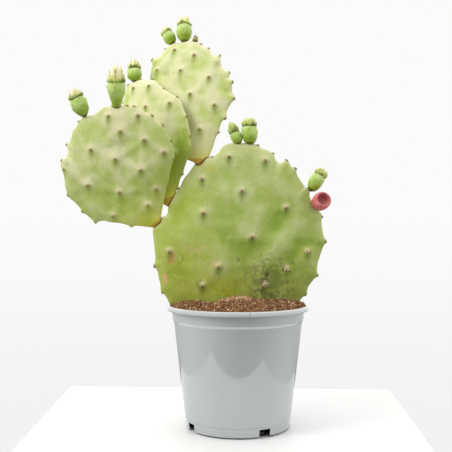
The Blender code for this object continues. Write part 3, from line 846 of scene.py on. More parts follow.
# %% Light that sinks into plant tissue
SKIN_GLOW = (1.0, 0.9, 0.25)     # how far red, green and blue light travel inside, as shares
PETAL_GLOW = (1.0, 0.9, 0.40)


def make_fleshy(shader, share, depth, glow=SKIN_GLOW):
    """Let a share of the light sink in, to a depth in metres, and come out softened."""
    shader.inputs["Subsurface Weight"].default_value = share
    shader.inputs["Subsurface Radius"].default_value = glow
    shader.inputs["Subsurface Scale"].default_value = depth


print("green light travels", SKIN_GLOW[1] / SKIN_GLOW[2], "times as far as blue")

# %% [markdown]
# The skin's colour is laid on like paint, from the broad tones to the small marks. Each line
# mixes one more tone over what is there, by its own mask. The order matters: the joint's cork
# comes late because it covers everything, and dust comes last because it lies on top.

# %% Pad skin material
PORE_TONE = (0.10, 0.14, 0.02)
BROW_HIGHLIGHT_TONE = (0.72, 0.64, 0.40)
NECK_YELLOW = (0.55, 0.52, 0.03)
NECK_BROWN = (0.44, 0.22, 0.02)
JOINT_CORK = (0.13, 0.055, 0.008)
PAD_DUST = (0.78, 0.76, 0.62)


def pad_skin(name, tones, gloss, marks):
    """Skin of a pad: greens by height, then edge, areole, neck, joint and scar tones."""
    deep, middle, bloom, edge_tone, streak_tone = tones
    finish, tree, shader = new_finish(name, 0.48, gloss)
    make_fleshy(shader, 0.20, 0.004)
    place = node(tree, "Attribute", attribute_name="skin").outputs["Vector"]
    skin = use(tree, cloudy, {"Place": place, "Patch size": 34.0, "Pore size": 1.6})
    fine = use(tree, cloudy, {"Place": place, "Patch size": 8.0, "Pore size": 0.8})
    # level: ridges get the bloom and hollows the deep green, partly the wax's own bloom, partly painted
    # light and painted shade
    level = sums(tree, "ADD", mask(tree, "high"), times(tree, skin["Patches"], 0.55))
    level = sums(tree, "ADD", level, times(tree, fine["Patches"], 0.16))
    colour = blend(tree, spread(tree, level, 0.45, 0.95), deep, middle)
    colour = blend(tree, spread(tree, level, 0.85, 1.50), colour, bloom)
    colour = blend(tree, times(tree, fine["Flecks"], 0.10), colour, PORE_TONE)
    colour = marks(tree, place, colour)
    # streak: olive below each areole, partly its own colour, partly painted shade below the mound
    colour = blend(tree, times(tree, mask(tree, "streak"), 0.80), colour, streak_tone)
    # painted highlight: a pale spot over each areole's mound
    colour = blend(tree, times(tree, mask(tree, "brow"), 0.70), colour, BROW_HIGHLIGHT_TONE)
    up = node(tree, "SeparateXYZ", {0: node(tree, "NewGeometry").outputs["Normal"]}).outputs["Z"]
    # the rim's cream is its own colour, but it is painted strongest where the rim faces up, as painted
    # light
    lit_rim = times(tree, mask(tree, "rim"), spread(tree, up, -0.1, 0.7, 0.10, 1.0))
    # painted shade: skin that faces down is mixed towards the deep green
    colour = blend(tree, spread(tree, up, -0.08, -0.55, 0.0, 0.50), colour, deep)
    colour = blend(tree, times(tree, lit_rim, 0.80), colour, edge_tone)
    colour = blend(tree, times(tree, mask(tree, "neck"), 0.85), colour, NECK_YELLOW)
    colour = blend(tree, spread(tree, mask(tree, "neck"), 0.80, 1.0, 0.0, 0.70), colour, NECK_BROWN)
    colour = blend(tree, spread(tree, mask(tree, "joint"), 0.15, 0.80), colour, JOINT_CORK)
    film = use(tree, dust, {"Amount": 0.14, "Grain": 700.0})
    colour = blend(tree, film["Mask"], colour, PAD_DUST)
    tree.links.new(colour, shader.inputs["Base Color"])
    rough = spread(tree, level, 0.4, 1.4, 0.42, 0.60)
    tree.links.new(rough, shader.inputs["Roughness"])
    emboss(tree, shader, fine["Height"], 0.25, 0.0006)
    return finish


print("tones laid over the greens:", PORE_TONE, BROW_HIGHLIGHT_TONE, JOINT_CORK)

# %% Marks of a young pad
def young_marks(tree, place, colour):
    """A few fine dark pricks and duller bruises."""
    pricks = node(tree, "TexVoronoi", {"Vector": place, "Scale": 0.055, "Randomness": 1.0})
    dots = spread(tree, pricks.outputs["Distance"], 0.050, 0.02)
    colour = blend(tree, times(tree, dots, 0.7), colour, (0.13, 0.13, 0.04))
    bruise = noise(tree, place, 0.028, 3.0)
    return blend(tree, spread(tree, bruise, 0.60, 0.75, 0.0, 0.5), colour, (0.29, 0.37, 0.13))


print("young skin has", young_marks.__name__)

# %% [markdown]
# The old pad tells its age by its marks. Broad washes brown its foot and yellow its left, and
# painted shade darkens its lower right; then come scars, stains and dark patches from a list
# of places, fine pricks, hair-thin scratches in one worn area, and grime that splashed up from the soil.

# %% Places of scars and stains
# centre and half-size in the pad's own plane (mm), colour, strength, raggedness
OLD_PATCHES = (
    ((-88.5, -30.0, 79.0), (5.0, 40.0, 10.0), (0.50, 0.28, 0.10), 0.90, 0.8),
    ((-91.0, -30.0, 87.0), (3.0, 40.0, 2.6), (0.10, 0.05, 0.02), 0.85, 0.6),
    ((-97.5, -30.0, 52.0), (3.4, 40.0, 9.5), (0.62, 0.38, 0.16), 0.90, 0.7),
    # a broad dark olive patch low on the right, darkening the skin there
    ((40.0, -30.0, 44.0), (26.0, 40.0, 28.0), (0.13, 0.15, 0.045), 0.52, 1.3),
    ((36.0, -30.0, 44.0), (5.0, 40.0, 14.0), (0.045, 0.035, 0.012), 0.95, 0.6),
    ((34.0, -30.0, 30.0), (12.0, 40.0, 6.0), (0.07, 0.07, 0.02), 0.60, 1.2),
    ((-62.0, -30.0, 88.0), (18.0, 40.0, 5.0), (0.52, 0.44, 0.19), 0.35, 1.8),
    ((-52.0, -30.0, 78.0), (4.0, 40.0, 14.0), (0.52, 0.44, 0.19), 0.32, 1.8),
    ((-32.0, -30.0, 66.0), (6.0, 40.0, 14.0), (0.54, 0.42, 0.18), 0.40, 1.8),
    ((-28.0, -30.0, 38.0), (30.0, 40.0, 14.0), (0.44, 0.42, 0.03), 0.40, 1.6),
    ((-50.0, -30.0, 40.0), (4.0, 40.0, 9.0), (0.12, 0.11, 0.02), 0.50, 1.5),
    ((90.0, -30.0, 86.0), (9.0, 40.0, 6.0), (0.44, 0.42, 0.06), 0.50, 1.2),
    ((92.0, -30.0, 85.0), (4.5, 40.0, 3.0), (0.09, 0.07, 0.02), 0.75, 1.2),
    ((-38.0, -30.0, 198.0), (8.0, 40.0, 6.0), (0.52, 0.48, 0.06), 0.5, 1.2),
    ((64.0, -30.0, 62.0), (4.0, 40.0, 4.0), (0.10, 0.09, 0.02), 0.7, 1.0),
    ((0.0, -30.0, 75.0), (3.0, 40.0, 3.6), (0.14, 0.13, 0.03), 0.6, 1.0),
    ((20.0, 30.0, 70.0), (14.0, 40.0, 22.0), (0.46, 0.38, 0.14), 0.4, 1.5),
    ((-60.0, 30.0, 44.0), (8.0, 40.0, 14.0), (0.40, 0.25, 0.10), 0.6, 1.0),
)
print(len(OLD_PATCHES), "scars and stains")

# %% Marks of the old pad
def old_marks(tree, place, colour):
    """Scars, stains and scratches of the old pad, its browner foot, and painted shade on its lower right.
    """
    height = node(tree, "SeparateXYZ", {0: place}).outputs["Z"]
    across = node(tree, "SeparateXYZ", {0: place}).outputs["X"]
    foot = spread(tree, height, 105.0, 20.0)
    right = spread(tree, across, -30.0, 60.0)
    left = spread(tree, across, -10.0, -70.0)
    colour = blend(tree, times(tree, left, 0.35), colour, (0.42, 0.48, 0.05))
    colour = blend(tree, times(tree, foot, 0.45), colour, (0.28, 0.29, 0.025))
    # painted shade: the lower right of the face is darkened
    shaded_foot = times(tree, times(tree, foot, right), 0.32)
    colour = blend(tree, shaded_foot, colour, (0.17, 0.20, 0.045))
    for centre, size, tone, strength, ragged in OLD_PATCHES:
        found = use(
            tree, dry_patch, {"Place": place, "Centre": centre, "Size": size, "Raggedness": ragged}
        )
        colour = blend(tree, times(tree, found["Mask"], strength), colour, tone)
    pricks = node(tree, "TexVoronoi", {"Vector": place, "Scale": 0.16, "Randomness": 1.0})
    dots = spread(tree, pricks.outputs["Distance"], 0.17, 0.06)
    colour = blend(tree, times(tree, dots, 0.55), colour, (0.10, 0.12, 0.02))
    # wandering hair-thin scratches, only in one worn area
    crawl = noise(tree, place, 0.045, 2.0, Distortion=0.8)
    near_half = sums(tree, "ABSOLUTE", sums(tree, "SUBTRACT", crawl, 0.5))
    worn_area = use(tree, dry_patch, {
        "Place": place, "Centre": (-58.0, -30.0, 76.0), "Size": (36.0, 40.0, 26.0), "Raggedness": 1.0,
    })
    hair = times(tree, spread(tree, near_half, 0.014, 0.003), worn_area["Mask"])
    colour = blend(tree, times(tree, hair, 0.65), colour, (0.66, 0.50, 0.26))
    grime = spread(tree, noise(tree, place, 0.10, 6.0, Roughness=0.7), 0.52, 0.70)
    colour = blend(tree, times(tree, times(tree, grime, foot), 0.50), colour, (0.14, 0.15, 0.03))
    slanting = {"Vector": place, "Rotation": (0.0, 0.7, 0.0), "Scale": (0.5, 1.0, 0.04)}
    scuff_place = node(tree, "Mapping", slanting)
    scuff = noise(tree, scuff_place.outputs[0], 1.0, 4.0)
    wear_and_edge_highlight = times(tree, spread(tree, scuff, 0.60, 0.72), foot)
    return blend(tree, times(tree, wear_and_edge_highlight, 0.30), colour, (0.44, 0.44, 0.16))


print("old skin has", len(OLD_PATCHES), "patches, pricks, scratches, grime and scuffs")

# %% The two skins, and the pads' pieces
# deep, middle, bloom, edge, streak
YOUNG_TONES = (
    (0.31, 0.41, 0.050), (0.485, 0.575, 0.175), (0.68, 0.685, 0.39),
    (0.84, 0.77, 0.52), (0.24, 0.31, 0.010),
)
OLD_TONES = (
    (0.25, 0.355, 0.050), (0.370, 0.460, 0.110), (0.49, 0.56, 0.23),
    (0.68, 0.67, 0.36), (0.15, 0.21, 0.012),
)
young_skin = pad_skin("young pad skin", YOUNG_TONES, 0.16, young_marks)
old_skin = pad_skin("old pad skin", OLD_TONES, 0.18, old_marks)

for pad_name, pad in PADS.items():
    shape = surfaces[pad_name]
    skin, slot = (young_skin, "young_pad_skin") if pad["parent"] else (old_skin, "old_pad_skin")
    piece = new_piece(pad_name + "_skin", shape["world"], shape["faces"], skin, shape["masks"])
    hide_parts(pad_name)
    how_proud(piece, pad_name)

# %% [markdown]
# ## Areoles
# An areole is a felted cushion about five millimetres across, with a tuft of tiny barbed
# bristles and, on old wood, a short spine or two. Each is a small domed patch with its own
# bristles. They could be scattered with a particle system, but growing them in a loop at
# known places keeps every one where the drawing has it.

# %% Felt and bristle materials
def felt_finish(name, dark, light):
    """Felt of an areole: dark below, pale where its upper edge catches the light."""
    felt, tree, shader = new_finish(name, 0.95, 0.08)
    place = node(tree, "NewGeometry").outputs["Position"]
    fluff = noise(tree, place, 1500.0, 3.0)
    dark_felt = blend(tree, fluff, dark, light)
    pale_felt = blend(tree, fluff, (0.40, 0.31, 0.15), (0.66, 0.55, 0.36))
    colour = blend(tree, mask(tree, "upper"), dark_felt, pale_felt)
    tree.links.new(colour, shader.inputs["Base Color"])
    emboss(tree, shader, fluff, 0.8, 0.0004)
    return felt


young_felt = felt_finish("young areole felt", (0.22, 0.17, 0.045), (0.42, 0.33, 0.12))
old_felt = felt_finish("old areole felt", (0.085, 0.060, 0.014), (0.20, 0.145, 0.04))

print("felts", young_felt.name, "and", old_felt.name)

# %% Cork and bristle materials
cork, tree, shader = new_finish("areole cork", 0.85, 0.15)
place = node(tree, "NewGeometry").outputs["Position"]
crackle = noise(tree, place, 900.0, 3.0)
colour = blend(tree, spread(tree, crackle, 0.35, 0.65), (0.42, 0.30, 0.15), (0.68, 0.57, 0.37))
tree.links.new(colour, shader.inputs["Base Color"])
emboss(tree, shader, crackle, 0.6, 0.0004)

bristle, tree, shader = new_finish("bristle", 0.6, 0.3)
tip = mask(tree, "upper")
colour = blend(tree, tip, (0.24, 0.16, 0.05), (0.62, 0.52, 0.30))
tree.links.new(colour, shader.inputs["Base Color"])

print("cork and bristle:", cork.name, bristle.name)

# %% [markdown]
# Every areole needs a place on the skin and a direction out of it. The direction comes from
# the skin's own slope, found by stepping a little to each side, so that a cushion sits flat
# on its mound.

# %% Where areoles sit
SLOPE_STEP = 1.5          # mm to each side when the skin's slope is measured
FACE_LIMIT = 0.95         # areoles further out than this belong to the rim


def areole_place(pad, spot, side):
    """Where a face areole sits on the skin and which way is out, in the pad's plane."""
    x, z = (np.array([float(v)]) for v in spot)

    def at(dx, dz):
        share = rim_share(pad, x + dx, z + dz)
        return np.array((x[0] + dx, face_height(pad, x + dx, z + dz, share, side)[0], z[0] + dz))

    ahead = at(SLOPE_STEP, 0.0) - at(-SLOPE_STEP, 0.0)
    up = at(0.0, SLOPE_STEP) - at(0.0, -SLOPE_STEP)
    out_way = np.cross(ahead, up) * -side
    out_way = out_way / np.linalg.norm(out_way)
    if out_way[1] * side < 0:
        out_way = -out_way
    return at(0.0, 0.0), out_way


def areole_spots(pad):
    """Every areole of a pad as (place, outward) pairs in the pad's plane."""
    spots = []
    for side in (-1.0, 1.0):
        for spot in areoles_on(pad, side):
            if rim_share(pad, *(np.array([float(v)]) for v in spot))[0] < FACE_LIMIT:
                spots.append(areole_place(pad, spot, side))
    centre = np.array(pad["centre"])
    for peak in pad["peaks"]:
        edge = pad["edge"][peak]
        away = (edge - centre) / np.linalg.norm(edge - centre)
        spots.append((np.array((edge[0], 0.0, edge[1])), np.array((away[0], 0.0, away[1]))))
    return spots


def frame_on(spot, out_way):
    """Axes on the skin: the first two lie in it, the second as upright as it can be."""
    up = np.array((0.0, 0.0, 1.0)) - out_way * out_way[2]
    if np.linalg.norm(up) < 0.2:
        up = np.array((1.0, 0.0, 0.0)) - out_way * out_way[0]
    up /= np.linalg.norm(up)
    return np.cross(up, out_way), up


print("areoles on the old pad:", len(areole_spots(PADS["pad_base"])))

# %% Needles
def add_needle(points, faces, upper, foot, tip, width):
    """A three-sided needle from foot to tip."""
    along = tip - foot
    side = np.cross(along, (0.3, 0.9, 0.31))
    side /= np.linalg.norm(side)
    other = np.cross(along, side)
    other /= np.linalg.norm(other)
    start = len(points)
    for k in range(3):
        angle = 2.0 * math.pi * k / 3.0
        points.append(foot + (side * math.cos(angle) + other * math.sin(angle)) * width)
        upper.append(0.0)
    points.append(tip)
    upper.append(1.0)
    faces.extend([(start + k, start + (k + 1) % 3, start + 3) for k in range(3)])
    faces.append((start + 2, start + 1, start))


test_points, test_faces = [], []
add_needle(test_points, test_faces, [], np.zeros(3), np.array((0.0, 0.0, 1.0)), 0.1)
print("a needle has", len(test_points), "points and", len(test_faces), "faces")

# %% Felt cushions with their bristles
CUSHION_RINGS = ((1.0, -0.35), (0.94, 0.18), (0.70, 0.48), (0.36, 0.62))     # share out, rise
CUSHION_SIDES = 14
CUSHION_TOP = 0.34
BRISTLES = 16
BRISTLE_THICK = 0.09      # mm
SPINE_THICK = 0.28


def grow_areoles(spots, radius, spine_length, dice):
    """Felt cushions and needles for a list of spots, in metres."""
    felt_points, felt_faces, felt_upper = [], [], []
    points, faces, upper = [], [], []
    for spot, out_way in spots:
        across, up = frame_on(spot, out_way)
        size = radius * dice.uniform(0.85, 1.15)
        start = len(felt_points)
        for share, rise in CUSHION_RINGS:
            for k in range(CUSHION_SIDES):
                angle = 2.0 * math.pi * k / CUSHION_SIDES
                wobble = 1.0 + 0.10 * dice.uniform(-1.0, 1.0)
                flat = across * math.cos(angle) * 0.9 + up * math.sin(angle) * 1.1
                away = flat * size * share * wobble + out_way * rise * size * 0.5
                felt_points.append(spot + away * MM)
                felt_upper.append(float(np.clip(0.15 + 0.95 * math.sin(angle) * share, 0.0, 1.0)))
        felt_points.append(spot + out_way * size * CUSHION_TOP * MM)
        felt_upper.append(0.15)
        rows = len(CUSHION_RINGS)
        felt_faces.extend(grid_faces(rows, CUSHION_SIDES, start))
        last = start + (rows - 1) * CUSHION_SIDES
        top = start + rows * CUSHION_SIDES
        felt_faces.extend(
            [(last + k, last + (k + 1) % CUSHION_SIDES, top) for k in range(CUSHION_SIDES)]
        )
        felt_faces.append([start + k for k in range(CUSHION_SIDES)][::-1])
        for _ in range(BRISTLES):
            angle, lean_out = dice.uniform(0.0, 2.0 * math.pi), dice.uniform(0.1, 1.0)
            flat = across * math.cos(angle) + up * math.sin(angle)
            foot = spot + flat * size * 0.55 * lean_out * MM
            tip = foot + (out_way * dice.uniform(1.0, 2.0) + flat * lean_out * 1.0) * MM
            add_needle(points, faces, upper, foot, tip, BRISTLE_THICK * MM)
        for _ in range(int(dice.integers(1, 3)) if spine_length else 0):
            flat = across * dice.uniform(-0.7, 0.7) - up * dice.uniform(0.1, 0.9)
            tip = spot + (out_way * 0.8 + flat) * dice.uniform(0.7, 1.2) * spine_length * MM
            add_needle(points, faces, upper, spot, tip, SPINE_THICK * MM)
    return (felt_points, felt_faces, felt_upper), (points, faces, upper)


print("a cushion has", len(CUSHION_RINGS) * CUSHION_SIDES + 1, "points and", BRISTLES, "bristles")

# %% Corky rings
CORK_RINGS = ((1.0, -0.30), (0.90, 0.06), (0.72, 0.24), (0.52, 0.16))


def grow_cork(spots, radius, dice):
    """Dished corky rings round the old pad's areoles."""
    points, faces = [], []
    for spot, out_way in spots:
        across, up = frame_on(spot, out_way)
        size = radius * dice.uniform(0.70, 1.20)
        start = len(points)
        ragged = dice.uniform(0.72, 1.22, CUSHION_SIDES)
        for share, rise in CORK_RINGS:
            for k in range(CUSHION_SIDES):
                angle = 2.0 * math.pi * k / CUSHION_SIDES
                flat = across * math.cos(angle) + up * (math.sin(angle) + 0.15)
                points.append(spot + (flat * size * share * ragged[k] + out_way * rise * size) * MM)
        faces.extend(grid_faces(len(CORK_RINGS), CUSHION_SIDES, start))
        faces.append([start + 3 * CUSHION_SIDES + k for k in range(CUSHION_SIDES)])
        faces.append([start + k for k in range(CUSHION_SIDES)][::-1])
    return points, faces


print("cork rings rise to", max(rise for _, rise in CORK_RINGS), "of their radius")

# %% Grow the areoles of every pad
AREOLE_SIZE = {"pad_base": 2.4, "pad_left": 2.3, "pad_middle": 2.2, "pad_top": 2.2}
SPINE_LENGTH = {"pad_base": 4.0, "pad_left": 0.0, "pad_middle": 0.0, "pad_top": 0.0}
CORK_SIZE = 3.3
for pad_name, pad in PADS.items():
    dice = np.random.default_rng(pad["seed"] + 100)
    placed = []
    for spot, out_way in areole_spots(pad):
        ends = to_world(pad, [spot, spot + out_way])
        outward = (ends[1] - ends[0]) / np.linalg.norm(ends[1] - ends[0])
        placed.append((ends[0], outward))
    cushions, needles = grow_areoles(placed, AREOLE_SIZE[pad_name], SPINE_LENGTH[pad_name], dice)
    slot = "young_pad_skin" if pad["parent"] else "old_pad_skin"
    felt = young_felt if pad["parent"] else old_felt
    new_piece(pad_name + "_felt", cushions[0], cushions[1], felt, {"upper": cushions[2]})
    new_piece(pad_name + "_bristles", needles[0], needles[1], bristle, {"upper": needles[2]}, False)
    if not pad["parent"]:
        rings = grow_cork(placed[: -len(pad["rim"])], CORK_SIZE, dice)
        new_piece(pad_name + "_cork", rings[0], rings[1], cork)
    print(pad_name, len(placed), "areoles")

# %% [markdown]
# ## Buds
# A prickly-pear bud is a green barrel (the ovary) that will become the fruit, with pointed
# scales round its crown and closed petals above. The barrel is turned like a pot on a lathe
# and its bumps are pushed out along a spiral. Scales and petals are thin closed sheets,
# bent to the crown and laid over one another in rings.

# %% Bud and fruit skin
WAX_ROUGH = 0.42
WAX_GLOSS = 0.20
BUD_DUST = (0.80, 0.78, 0.66)


def waxy_skin(name, fresh, deep, bloom, bloom_share, tip_tone):
    """Skin of a bud or fruit: deep at the foot, with pale bloom towards the crown."""
    finish, tree, shader = new_finish(name, WAX_ROUGH, WAX_GLOSS)
    make_fleshy(shader, 0.20, 0.003)
    place = node(tree, "Attribute", attribute_name="skin").outputs["Vector"]
    skin = use(tree, cloudy, {"Place": place, "Patch size": 8.0, "Pore size": 0.9})
    rise = mask(tree, "rise")
    colour = blend(tree, spread(tree, rise, 0.05, 0.70), deep, fresh)
    veil = times(tree, spread(tree, rise, 0.25, 0.95, 0.20, 1.0), skin["Patches"])
    colour = blend(tree, times(tree, veil, bloom_share), colour, bloom)
    colour = blend(tree, times(tree, skin["Flecks"], 0.10), colour, deep)
    colour = blend(tree, spread(tree, rise, 0.06, 0.0), colour, tip_tone)
    colour = blend(tree, mask(tree, "tip"), colour, tip_tone)
    film = use(tree, dust, {"Amount": 0.16, "Grain": 900.0})
    colour = blend(tree, film["Mask"], colour, BUD_DUST)
    tree.links.new(colour, shader.inputs["Base Color"])
    tree.links.new(spread(tree, veil, 0.0, 1.0, 0.32, 0.55), shader.inputs["Roughness"])
    emboss(tree, shader, skin["Height"], 0.25, 0.0004)
    return finish


# name, fresh, deep, bloom, share of bloom, tip
bud_skin = waxy_skin(
    "bud skin", (0.40, 0.56, 0.11), (0.24, 0.36, 0.010), (0.66, 0.77, 0.36), 0.80, (0.12, 0.13, 0.01)
)
fruit_skin = waxy_skin(
    "fruit skin", (0.58, 0.10, 0.10), (0.36, 0.032, 0.040), (0.80, 0.40, 0.40), 0.60,
    (0.27, 0.030, 0.038),
)
print("skins", bud_skin.name, "and", fruit_skin.name)

# %% Petal skin
petal_skin, tree, shader = new_finish("petal", 0.55, 0.25)
make_fleshy(shader, 0.25, 0.002, PETAL_GLOW)
along = mask(tree, "rise")
leafy = mask(tree, "leafy")
place = node(tree, "Attribute", attribute_name="skin").outputs["Vector"]
veins = node(tree, "TexWave", {"Vector": place, "Scale": 0.7, "Distortion": 2.0}, bands_direction="X")
petal = blend(tree, spread(tree, along, 0.0, 0.30), (0.42, 0.50, 0.030), (0.76, 0.77, 0.20))
petal = blend(tree, spread(tree, along, 0.22, 0.85), petal, (0.97, 0.90, 0.68))
leaf = blend(tree, spread(tree, along, 0.0, 0.35), (0.16, 0.23, 0.010), (0.46, 0.58, 0.10))
leaf = blend(tree, spread(tree, along, 0.50, 0.95), leaf, (0.78, 0.78, 0.36))
colour = blend(tree, leafy, petal, leaf)
colour = blend(tree, times(tree, veins.outputs["Fac"], 0.12), colour, (0.48, 0.50, 0.08))
tree.links.new(colour, shader.inputs["Base Color"])
emboss(tree, shader, veins.outputs["Fac"], 0.3, 0.0003)

print("petal nodes", len(tree.nodes))

# %% [markdown]
# A petal or a scale is a thin sheet with a rounded section. Front and back share the points
# of their edge, so the sheet is closed and comes out as a solid leaf, not as a paper cut-out.

# %% Thin closed sheets for scales and petals
def sheet_faces(rows, columns, start, back_index):
    """Quads of a sheet's front and back; the two share the points of the sheet's edge."""
    faces = []
    for i in range(rows - 1):
        for j in range(columns - 1):
            ring = [(i, j), (i, j + 1), (i + 1, j + 1), (i + 1, j)]
            faces.append([start + a * columns + b for a, b in ring])
            faces.append([back_index[spot] for spot in reversed(ring)])
    return faces


def add_sheet(store, top, thickness, rise_values, tip_values):
    """Add a sheet with a rounded section, given its front as a grid of points."""
    rows, columns = top.shape[:2]
    along = np.gradient(top, axis=0)
    across = np.gradient(top, axis=1)
    normal = np.cross(across, along)
    normal /= np.linalg.norm(normal, axis=2)[..., None] + 1e-12
    start = len(store["points"])
    store["points"].extend(top.reshape(-1, 3))
    store["rise"].extend(np.repeat(rise_values, columns))
    store["tip"].extend(np.repeat(tip_values, columns))
    back_index = {}
    for i in range(rows):
        for j in range(columns):
            if i in (0, rows - 1) or j in (0, columns - 1):
                back_index[i, j] = start + i * columns + j
                continue
            back_index[i, j] = len(store["points"])
            store["points"].append(top[i, j] - normal[i, j] * thickness)
            store["rise"].append(rise_values[i])
            store["tip"].append(tip_values[i])
    store["faces"].extend(sheet_faces(rows, columns, start, back_index))


shared = {(i, j): 0 for i in range(3) for j in range(3)}
print("a 3 by 3 sheet has", len(sheet_faces(3, 3, 0, shared)), "faces")

# %% A pointed leaf
LEAF_STEPS = np.array([0.0, 0.12, 0.30, 0.50, 0.68, 0.82, 0.92, 1.0])
LEAF_WIDTHS = np.array([0.80, 0.95, 1.0, 0.90, 0.68, 0.42, 0.20, 0.015])


def leaf_grid(angle, foot_radius, foot_height, length, width, belly, tip_radius, rows=9, columns=7):
    """A pointed leaf on a ring: it bellies out by a share, then ends at its tip's radius."""
    t = np.linspace(0.0, 1.0, rows)[:, None]
    s = np.linspace(-1.0, 1.0, columns)[None, :]
    half = 0.5 * width * np.interp(t, LEAF_STEPS, LEAF_WIDTHS)
    reach = foot_radius + (tip_radius - foot_radius) * t**1.6 + belly * np.sin(math.pi * t**0.8)
    bearing = angle + half * s / np.maximum(foot_radius, 0.8 * width)
    x = reach * np.cos(bearing)
    y = reach * np.sin(bearing)
    return np.stack([x, y, foot_height + length * t + 0.0 * x], axis=-1)


print("a leaf's grid", leaf_grid(0.0, 8.0, 20.0, 5.0, 3.0, 0.3, 6.0).shape)

# %% Drawing of the buds
# share of the length, share of the radius
PEAR = [(0.0, 0.42), (0.19, 0.54), (0.40, 0.74), (0.62, 0.93), (0.79, 1.0), (0.93, 0.96), (1.0, 0.90)]
EGG = [(0.0, 0.40), (0.12, 0.62), (0.32, 0.88), (0.55, 1.0), (0.78, 0.99), (0.93, 0.92), (1.0, 0.84)]
BALL = [(0.0, 0.42), (0.10, 0.66), (0.28, 0.90), (0.52, 1.0), (0.78, 0.97), (0.93, 0.88), (1.0, 0.80)]
BOWL = [(0.0, 0.56), (0.12, 0.76), (0.34, 0.94), (0.60, 1.0), (0.84, 0.97), (0.94, 0.92), (1.0, 0.86)]
# parent, spot, tilt, radius, body, petals, profile, leafiness, how far the petals spread
BUDS = {
    "bud_left_outer": ("pad_left", (7, 169.5), 12.0, 11.0, 24.5, 16.5, EGG, 0.15, 0.35),
    "bud_left_crown": ("pad_left", (49, 153), 37.0, 12.2, 32.0, 27.0, PEAR, 0.0, 0.40),
    "bud_middle": ("pad_middle", (-32, 180), 10.0, 10.2, 17.0, 18.5, BALL, 0.10, 0.20),
    "bud_top_outer": ("pad_top", (-50, 182), -31.0, 8.9, 18.5, 13.0, EGG, 0.20, 0.95),
    "bud_top_crown": ("pad_top", (-32, 182), -3.0, 11.2, 23.5, 22.0, EGG, 0.05, 0.10),
    "bud_base_slim": ("pad_base", (1, 231), -22.0, 7.8, 15.0, 18.0, BOWL, 1.0, 0.20),
    "bud_base_crown": ("pad_base", (16, 231), -2.0, 10.8, 22.0, 15.0, BOWL, 0.70, 0.60),
    "bud_base_right": ("pad_base", (98, 169), 32.0, 9.6, 22.0, 13.0, BOWL, 0.55, 0.95),
}
print(len(BUDS), "buds drawn")

# %% [markdown]
# The barrel is turned from its profile, and its low bumps sit along a spiral of the golden
# turn, as leaves do on a stem. Each bump later carries a tiny leaf.

# %% Turn a barrel
BARREL_SIDES = 56
BARREL_ROWS = 44
GOLDEN_TURN = math.radians(137.5)
BUMP_HEIGHT = 0.06       # share of the radius
BUMP_REACH = 0.24
BUMPS_FROM, BUMPS_OVER = 0.20, 0.70     # share of the length where they start, and their span


def barrel(radius, length, profile, bumps, dice):
    """Rows of a turned body with bumps along a spiral, closed at foot and crown."""
    knots = np.array(profile)
    t = np.linspace(0.0, 1.0, BARREL_ROWS)
    reach = np.interp(t, knots[:, 0], knots[:, 1])
    soft = np.array([0.25, 0.5, 0.25])
    for _ in range(8):
        reach[1:-1] = np.convolve(reach, soft, mode="valid")
    angle = np.linspace(0.0, 2.0 * math.pi, BARREL_SIDES, endpoint=False)
    rows, turns_grid = np.meshgrid(t, angle, indexing="ij")
    wide = np.repeat(reach[:, None], BARREL_SIDES, axis=1) * radius
    wide *= 1.0 + 0.015 * np.sin(3.0 * turns_grid + dice.uniform(0.0, 6.0))
    spots = []
    for k in range(bumps):
        high = BUMPS_FROM + BUMPS_OVER * (k + 0.5) / bumps
        turn = k * GOLDEN_TURN + dice.uniform(-0.2, 0.2)
        apart = np.abs((turns_grid - turn + math.pi) % (2.0 * math.pi) - math.pi) * radius
        away = np.hypot(apart, (rows - high) * length)
        wide += BUMP_HEIGHT * radius * np.exp(-((away / (BUMP_REACH * radius)) ** 2))
        spots.append((high, turn % (2.0 * math.pi)))
    x, y = wide * np.cos(turns_grid), wide * np.sin(turns_grid)
    return np.stack([x, y, rows * length], axis=-1), rows, wide, spots


widest = barrel(10.0, 20.0, EGG, 0, np.random.default_rng(0))[2].max()
print("an egg of radius 10 is", round(float(widest), 2), "mm wide at most")

# %% Carry a bud to its place
def bud_matrix(parent, spot, tilt):
    """From a bud's own axes (z along it, millimetres) to the frame, in metres."""
    pad = PADS[parent]
    turn = Matrix(turn_of(pad).tolist()).to_4x4()
    place = Matrix.Translation(Vector(pad["neck"])) @ turn
    place = place @ Matrix.Translation((spot[0], 0.0, spot[1]))
    return Matrix.Scale(MM, 4) @ place @ Matrix.Rotation(math.radians(tilt), 4, "Y")


def carry(matrix, points):
    """Move points by a matrix."""
    points = np.asarray(points, dtype=float)
    grid = np.array(matrix)
    return points @ grid[:3, :3].T + grid[:3, 3]


print("the left pad's crown bud stands at", bud_matrix("pad_left", (49, 153), 37.0).translation)

# %% Body of a bud or a fruit
LEAFLET_THICK = 0.25     # mm
SCALE_THICK = 0.60
SCALE_RINGS = ((1.0, 1.22), (1.25, 1.06))     # size and outward lean of the two rings
SCALE_TONES = (-0.6, -0.2, 0.7)               # below 0 a scale's tip stays fresh, above it darkens


